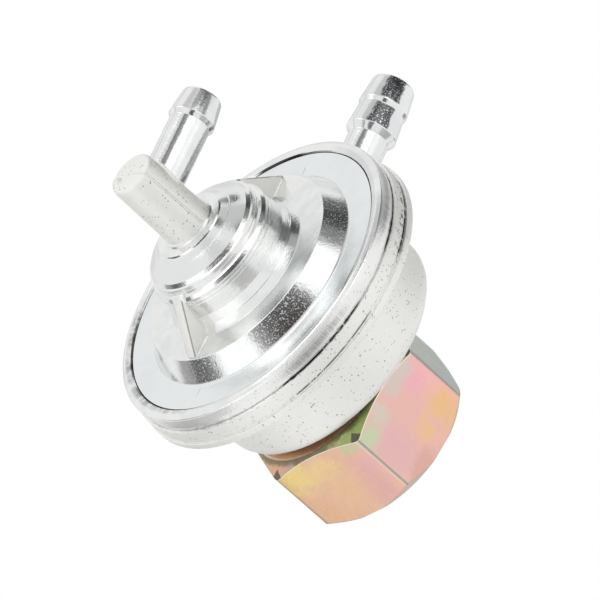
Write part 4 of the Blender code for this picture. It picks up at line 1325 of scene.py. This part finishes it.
@dataclass
class UnionNut:
    """Hexagon nut with rounded edges, two chamfers and a cut thread. Millimetres."""

    across_flats: float = 22.0
    bottom: float = 15.7
    top: float = 27.25
    corner_angle: float = 10.0
    edge_rounding: float = 0.45
    near_radius: float = 10.65
    near_slope: float = 30.0
    far_radius: float = 11.15
    far_slope: float = 45.0
    lip: float = 1.8
    lip_radius: float = 6.5
    thread_major: float = 8.0
    thread_minor: float = 7.25
    pitch: float = 1.5
    rings_per_turn: int = 10

    def block(self) -> bpy.types.Object:
        """Build the hexagonal bar with rounded edges."""
        reach = self.across_flats / 2 / math.cos(math.radians(30.0)) * MM
        middle = (self.bottom + self.top) / 2 * MM - SEAL_LEVEL
        Bench.clear()
        bpy.ops.mesh.primitive_cylinder_add(
            vertices=6, radius=reach, depth=(self.top - self.bottom) * MM,
            location=(0.0, 0.0, 0.0))
        nut = bpy.context.active_object
        nut.name = "tap_union_nut"
        nut.data.name = "tap_union_nut"
        turned = Matrix.Rotation(math.radians(self.corner_angle - 90.0), 4, "Z")
        nut.data.transform(Matrix.Translation((0.0, 0.0, middle)) @ turned)
        Bench.start_edit(nut)
        Bench.pick_edges(nut, lambda edge: abs(edge.verts[0].co.z - edge.verts[1].co.z)
                         > 1.0 * MM)
        bpy.ops.mesh.bevel(offset=self.edge_rounding * MM, segments=4, affect="EDGES")
        Bench.clear()
        return nut

    def chamfer_form(self) -> bpy.types.Object:
        """Turn the form that is common to both chamfers."""
        reach = 14.0
        rise = (reach - self.near_radius) * math.tan(math.radians(self.near_slope))
        drop = (reach - self.far_radius) * math.tan(math.radians(self.far_slope))
        stations = [
            Station(0.0, self.bottom),
            Station(self.near_radius, self.bottom, 0.5),
            Station(reach, self.bottom + rise),
            Station(reach, self.top - drop),
            Station(self.far_radius, self.top, 0.25),
            Station(0.0, self.top),
        ]
        return Bench.turn("chamfer_form", outline(stations), NECK_AXIS, Axis.Z, 192,
                          closed=False)

    def socket_form(self) -> bpy.types.Object:
        """Turn the tap that cuts the bore and its thread."""
        foot, head = self.bottom + self.lip, self.top - 1.25
        rings = round((head - foot) / self.pitch * self.rings_per_turn)
        wall = [Station(self.thread_minor, foot + (head - foot) * k / rings)
                for k in range(rings + 1)]
        stations = [Station(0.0, self.bottom - 1.0),
                    Station(self.lip_radius, self.bottom - 1.0),
                    Station(self.lip_radius, foot)]
        stations += wall
        stations += [Station(self.thread_major + 1.5, self.top + 1.0),
                     Station(0.0, self.top + 1.0)]
        tap = Bench.turn("socket_form", outline(stations), NECK_AXIS, Axis.Z, 128,
                         closed=False)
        self.cut_thread(tap, foot, head)
        return tap

    def cut_thread(self, tap: bpy.types.Object, foot: float, head: float) -> None:
        """Raise a helical ridge on the wall of the tap.

        Args:
            tap: The turned form.
            foot: Level at which the ridge starts.
            head: Level at which it ends.
        """
        depth = self.thread_major - self.thread_minor
        for point in tap.data.vertices:
            across = Vector((point.co.x, point.co.y))
            level = (point.co.z + SEAL_LEVEL) / MM
            if abs(across.length / MM - self.thread_minor) > 0.01:
                continue
            turn = math.atan2(across.y, across.x) / math.tau
            phase = (level / self.pitch - turn) % 1.0
            ridge = min(1.0, max(0.0, 1.25 - abs(phase - 0.5) * 3.1))
            run = min(1.0, (level - foot) / 0.5, (head - level) / 0.4)
            scale = 1.0 + depth * ridge * max(0.0, run) / self.thread_minor
            point.co.x *= scale
            point.co.y *= scale

    def build(self) -> bpy.types.Object:
        """Build, dress and seat the nut.

        Returns:
            The finished piece.
        """
        nut = self.block()
        Bench.combine(nut, self.chamfer_form(), "INTERSECT")
        Bench.combine(nut, self.socket_form(), "DIFFERENCE")
        Bench.tidy(nut, 0.001 * MM)
        Bench.shade(nut, 25.0)
        dress(nut, YellowChromate().material())
        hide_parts("union_nut")
        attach(nut, "nut")
        report(nut)
        return nut


@dataclass
class ReturnSpring:
    """The coil spring, which shortens towards its pocket as the valve lifts."""

    lift: float = 1.4

    def build(self, material: bpy.types.Material) -> None:
        """Copy the solid's coil and dress it.

        Args:
            material: Finish of the wire.
        """
        coil = Bench.copy_of(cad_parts["return_spring"], "tap_return_spring")
        Bench.tidy(coil)
        Bench.shade(coil)
        dress(coil, material)
        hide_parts("return_spring")
        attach(coil, "tap_body")
        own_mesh(coil)
        report(coil)


@dataclass
class RollingSheet:
    """The rubber sheet: its bead is clamped, its middle lifts, its loop rolls between.

    The sheet is made of equal sectors that meet exactly at their sides.
    """

    top: float = 3.15
    thick: float = 0.6
    hole: float = 1.7
    loop_inner: float = 9.4
    loop_outer: float = 12.0
    loop_depth: float = 1.1
    loop_steps: int = 8
    bead: tuple[float, float] = (17.3, 18.6)
    bead_levels: tuple[float, float] = (3.4, 2.3)
    sectors: int = 12
    sector_steps: int = 4

    def profile(self) -> list[Vector]:
        """Return the closed outline of the sheet's section."""
        width = self.loop_outer - self.loop_inner
        dips = [(self.loop_inner + width * k / self.loop_steps,
                 self.loop_depth * (1 - math.cos(math.tau * k / self.loop_steps)) / 2)
                for k in range(self.loop_steps + 1)]
        low = self.top - self.thick
        corners = [(self.hole, self.top)]
        corners += [(radius, self.top - dip) for radius, dip in dips]
        corners += [(self.bead[0], self.top), (self.bead[0], self.bead_levels[0]),
                    (self.bead[1], self.bead_levels[0]),
                    (self.bead[1], self.bead_levels[1]),
                    (self.bead[0], self.bead_levels[1]), (self.bead[0], low)]
        corners += [(radius, low - dip) for radius, dip in reversed(dips)]
        corners += [(self.hole, low), (self.hole, self.top)]
        return [VALVE_AXIS + Vector((radius * MM, 0.0, level * MM))
                for radius, level in corners]

    def sector(self) -> bpy.types.Object:
        """Spin one sector and close its two sides.

        Returns:
            The first sector.
        """
        sector = Bench.trace("tap_diaphragm_01", self.profile())
        bpy.ops.mesh.select_all(action="SELECT")
        bpy.ops.mesh.spin(steps=self.sector_steps, angle=math.tau / self.sectors,
                          center=VALVE_AXIS, axis=Axis.Z.value)
        bpy.ops.mesh.select_all(action="SELECT")
        bpy.ops.mesh.remove_doubles(threshold=0.002 * MM)
        bpy.ops.mesh.fill_holes(sides=0)
        Bench.clear()
        Bench.tidy(sector)
        Bench.shade(sector)
        return sector

    def build(self, material: bpy.types.Material) -> None:
        """Turn copies of the sector into place.

        Args:
            material: Finish of the rubber.
        """
        first = self.sector()
        pieces = [first]
        for index in range(1, self.sectors):
            piece = Bench.copy_of(first, f"tap_diaphragm_{index + 1:02d}")
            Bench.start_edit(piece)
            bpy.ops.mesh.select_all(action="SELECT")
            bpy.ops.transform.rotate(value=math.tau * index / self.sectors, orient_axis="Z",
                                     center_override=VALVE_AXIS)
            Bench.clear()
            pieces.append(piece)
        for piece in pieces:
            dress(piece, material)
            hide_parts("valve_diaphragm")
            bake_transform(piece)
            report(piece)


@dataclass
class InnerParts:
    """The parts between the castings: most keep their CAD solid and get a finish."""

    spring: TurnedMetal = TurnedMetal("spring_wire", (0.45, 0.46, 0.48), (0.33, 0.33, 0.34),
                                      0.28, 3200.0)
    plate: TurnedMetal = TurnedMetal("plated_disc", (0.62, 0.63, 0.65), (0.52, 0.53, 0.54),
                                     0.3)
    brass: TurnedMetal = TurnedMetal("valve_brass", (0.78, 0.60, 0.30), (0.62, 0.44, 0.20),
                                     0.25)
    fibre: MouldedSheet = MouldedSheet("seal_fibre_red", (0.30, 0.10, 0.07),
                                       (0.42, 0.20, 0.14), 0.7)
    rubber: MouldedSheet = MouldedSheet("valve_rubber", (0.025, 0.025, 0.027),
                                        (0.06, 0.06, 0.062), 0.55)

    def build(self) -> None:
        """Finish each inner node and build the spring and the sheet."""
        finishes = {
            "nut_retaining_ring": self.spring,
            "fuel_side_plate": self.plate,
            "spring_side_plate": self.plate,
            "valve_rivet": self.brass,
            "tank_seal_washer": self.fibre,
            "valve_pad": self.rubber,
        }
        made: dict[str, bpy.types.Material] = {}
        for node, finish in finishes.items():
            if finish.name not in made:
                made[finish.name] = finish.material()
            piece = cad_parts[node]
            if not piece.material_slots:
                piece.data.materials.append(made[finish.name])
            for material_slot in piece.material_slots:
                material_slot.material = made[finish.name]
            report(piece)
        ReturnSpring().build(made[self.spring.name])
        RollingSheet().build(made[self.rubber.name])


# Studio and camera


@dataclass(frozen=True)
class Patch:
    """A soft patch of the studio as the polished metal sees it."""

    azimuth: float
    elevation: float
    spread: float
    soft: float
    brightness: float


@dataclass
class PhotoCamera:
    """The photograph's viewpoint. Directions are in the part's frame."""

    right: Vector = field(default_factory=lambda: Vector((0.3819, 0.6537, 0.6533)))
    down: Vector = field(default_factory=lambda: Vector((-0.8073, -0.1082, 0.5802)))
    ahead: Vector = field(default_factory=lambda: Vector((0.4500, -0.7490, 0.4864)))
    distance: float = 0.9432
    sideways: float = 0.005896
    lowered: float = 0.002483
    lens: float = 486.7

    def build(self) -> bpy.types.Object:
        """Add the camera and make it the scene's.

        Returns:
            The camera.
        """
        data = bpy.data.cameras.new("photo_camera")
        data.lens = self.lens
        data.sensor_width = 36.0
        data.clip_start = 0.01
        data.clip_end = 50.0
        camera = bpy.data.objects.new("photo_camera", data)
        bpy.context.scene.collection.objects.link(camera)
        place = (VALVE_AXIS + self.right * self.sideways + self.down * self.lowered
                 - self.ahead * self.distance)
        turned = Matrix((self.right, -self.down, -self.ahead)).transposed().to_4x4()
        camera.matrix_world = Matrix.Translation(place) @ turned
        bpy.context.scene.camera = camera
        return camera

    def direction(self, azimuth: float, elevation: float) -> Vector:
        """Return a direction seen from the object, 0, 0 being back to the camera."""
        a, e = math.radians(azimuth), math.radians(elevation)
        return (-self.ahead * (math.cos(e) * math.cos(a))
                + self.right * (math.cos(e) * math.sin(a)) - self.down * math.sin(e))


@dataclass
class Studio:
    """White surround, pale floor and soft lights.

    Only the metal sees the patches. They are placed so that its bright and dark
    bands fall where the photograph has them.
    """

    camera: PhotoCamera
    level: float = 0.90
    soft_level: float = 0.94
    floor_drop: float = 1.15
    patches: tuple[Patch, ...] = (
        Patch(-60.0, -78.0, 40.0, 20.0, 0.92),
        Patch(178.0, 4.0, 24.0, 22.0, 0.76),
        Patch(55.0, 17.0, 12.0, 8.0, 1.08),
        Patch(22.0, 41.0, 17.0, 5.0, 1.25),
        Patch(-75.0, 39.0, 13.0, 5.0, 1.75),
        Patch(-55.0, -20.0, 14.0, 6.0, 1.2),
        Patch(-36.0, -40.0, 14.0, 10.0, 1.1),
        Patch(-78.0, 73.0, 9.0, 8.0, 0.62),
        Patch(-53.0, 34.0, 5.0, 8.0, 0.72),
        Patch(92.0, 75.0, 9.0, 9.0, 0.07),
        Patch(124.0, 68.0, 8.0, 8.0, 0.06),
        Patch(146.0, 61.0, 5.0, 6.0, 0.12),
        Patch(66.0, 55.0, 5.0, 7.0, 0.15),
        Patch(52.0, 71.0, 6.0, 7.0, 0.25),
        Patch(20.0, 74.0, 5.0, 5.0, 0.40),
        Patch(-33.0, 63.0, 5.0, 4.0, 0.16),
        Patch(-14.0, 62.0, 6.0, 4.0, 0.30),
        Patch(98.0, 53.0, 9.0, 6.0, 0.14),
        Patch(80.0, 48.0, 7.0, 6.0, 0.16),
        Patch(76.0, 36.0, 6.0, 6.0, 0.30),
        Patch(108.0, 34.0, 9.0, 6.0, 0.18),
        Patch(124.0, 32.0, 8.0, 7.0, 0.35),
        Patch(150.0, 21.0, 11.0, 8.0, 0.50),
        Patch(1.0, 19.0, 4.5, 4.0, 0.18),
        Patch(-5.0, 12.0, 6.5, 4.0, 0.10),
        Patch(-13.0, 4.0, 7.0, 4.0, 0.08),
        Patch(-22.0, -5.0, 6.5, 4.0, 0.10),
        Patch(-28.0, -10.0, 4.0, 4.0, 0.25),
        Patch(-87.0, -27.0, 6.5, 5.0, 0.20),
        Patch(-101.0, -25.0, 8.0, 5.0, 0.13),
        Patch(-114.0, -22.0, 5.0, 6.0, 0.35),
        Patch(36.0, -30.0, 12.0, 8.0, 0.52),
        Patch(50.0, -48.0, 11.0, 8.0, 0.48),
        Patch(-107.0, -66.0, 8.0, 6.0, 0.50),
        Patch(-150.0, -50.0, 9.0, 8.0, 0.45),
        Patch(-170.0, -36.0, 8.0, 8.0, 0.35),
        Patch(125.0, -22.0, 8.0, 8.0, 0.45),
        Patch(110.0, -37.0, 6.0, 6.0, 0.25),
    )

    def surround(self) -> None:
        """Make the world: white to the camera, patches to the metal, else even."""
        world = bpy.data.worlds.new("studio_world")
        bpy.context.scene.world = world
        world.use_nodes = True
        g = Graph(world.node_tree)
        toward = g.node("ShaderNodeTexCoord", {}, {}, "Generated")
        light: Value = self.level
        for patch in self.patches:
            aim = self.camera.direction(patch.azimuth, patch.elevation)
            dot = g.node("ShaderNodeVectorMath", {"operation": "DOT_PRODUCT"},
                         {"Vector": toward, "Vector_001": aim}, "Value")
            inner = math.cos(math.radians(patch.spread))
            outer = math.cos(math.radians(patch.spread + patch.soft))
            inside = g.step(dot, outer, inner)
            light = light * (1.0 - inside) + inside * patch.brightness
        camera = g.node("ShaderNodeLightPath", {}, {}, "Is Camera Ray")
        paths = camera.socket.node.outputs
        glossy = Wire(g, paths["Is Glossy Ray"])
        strength = light * glossy + self.soft_level * (1.0 - glossy)
        strength = strength * (1.0 - camera) + camera
        shader = g.node("ShaderNodeBackground", {},
                        {"Color": (1.0, 1.0, 1.0, 1.0), "Strength": strength})
        g.node("ShaderNodeOutputWorld", {}, {"Surface": shader})

    def floor(self) -> bpy.types.Object:
        """Add the pale floor, far below because the photograph looks up at the tap."""
        Bench.clear()
        bpy.ops.mesh.primitive_plane_add(size=8.0, location=(0.0, 0.0, 0.0))
        floor = bpy.context.active_object
        floor.name = "studio_floor"
        floor.data.transform(Matrix.Translation((0.0, 0.0, -self.floor_drop)))
        material, g = new_graph("pale_floor")
        g.surface({"Metallic": 0.0, "Roughness": 0.9,
                   "Base Color": (0.9, 0.9, 0.9, 1.0)}, {})
        floor.data.materials.append(material)
        floor.visible_glossy = False
        return floor

    def lamp(self, name: str, azimuth: float, elevation: float, size: float,
             power: float) -> None:
        """Add one square soft light aimed at the tap.

        Args:
            name: Name of the light.
            azimuth: Direction round the tap as the camera sees it, in degrees.
            elevation: Height of the direction as the camera sees it, in degrees.
            size: Side of the square in metres.
            power: Power in watts.
        """
        data = bpy.data.lights.new(name, "AREA")
        data.shape = "SQUARE"
        data.size = size
        data.energy = power
        lamp = bpy.data.objects.new(name, data)
        aim = self.camera.direction(azimuth, elevation)
        lamp.matrix_world = (Matrix.Translation(VALVE_AXIS + aim)
                             @ aim.to_track_quat("Z", "Y").to_matrix().to_4x4())
        lamp.visible_glossy = False
        bpy.context.scene.collection.objects.link(lamp)

    def build(self) -> None:
        """Build world, floor and lights."""
        self.surround()
        self.floor()
        self.lamp("key_light", -30.0, 45.0, 0.5, 2.0)
        self.lamp("fill_light", 55.0, 15.0, 0.6, 1.0)


def main() -> None:
    """Build the sub-assemblies in order."""
    logging.basicConfig(level=logging.INFO, format="%(name)s: %(message)s")
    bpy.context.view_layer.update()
    camera = PhotoCamera()
    camera.build()
    Studio(camera).build()
    BodyCasting().build()
    CoverCasting().build()
    UnionNut().build()
    InnerParts().build()
    scene = bpy.context.scene
    scene.view_settings.view_transform = "Standard"
    Bench.clear()


if __name__ == "__main__":
    main()
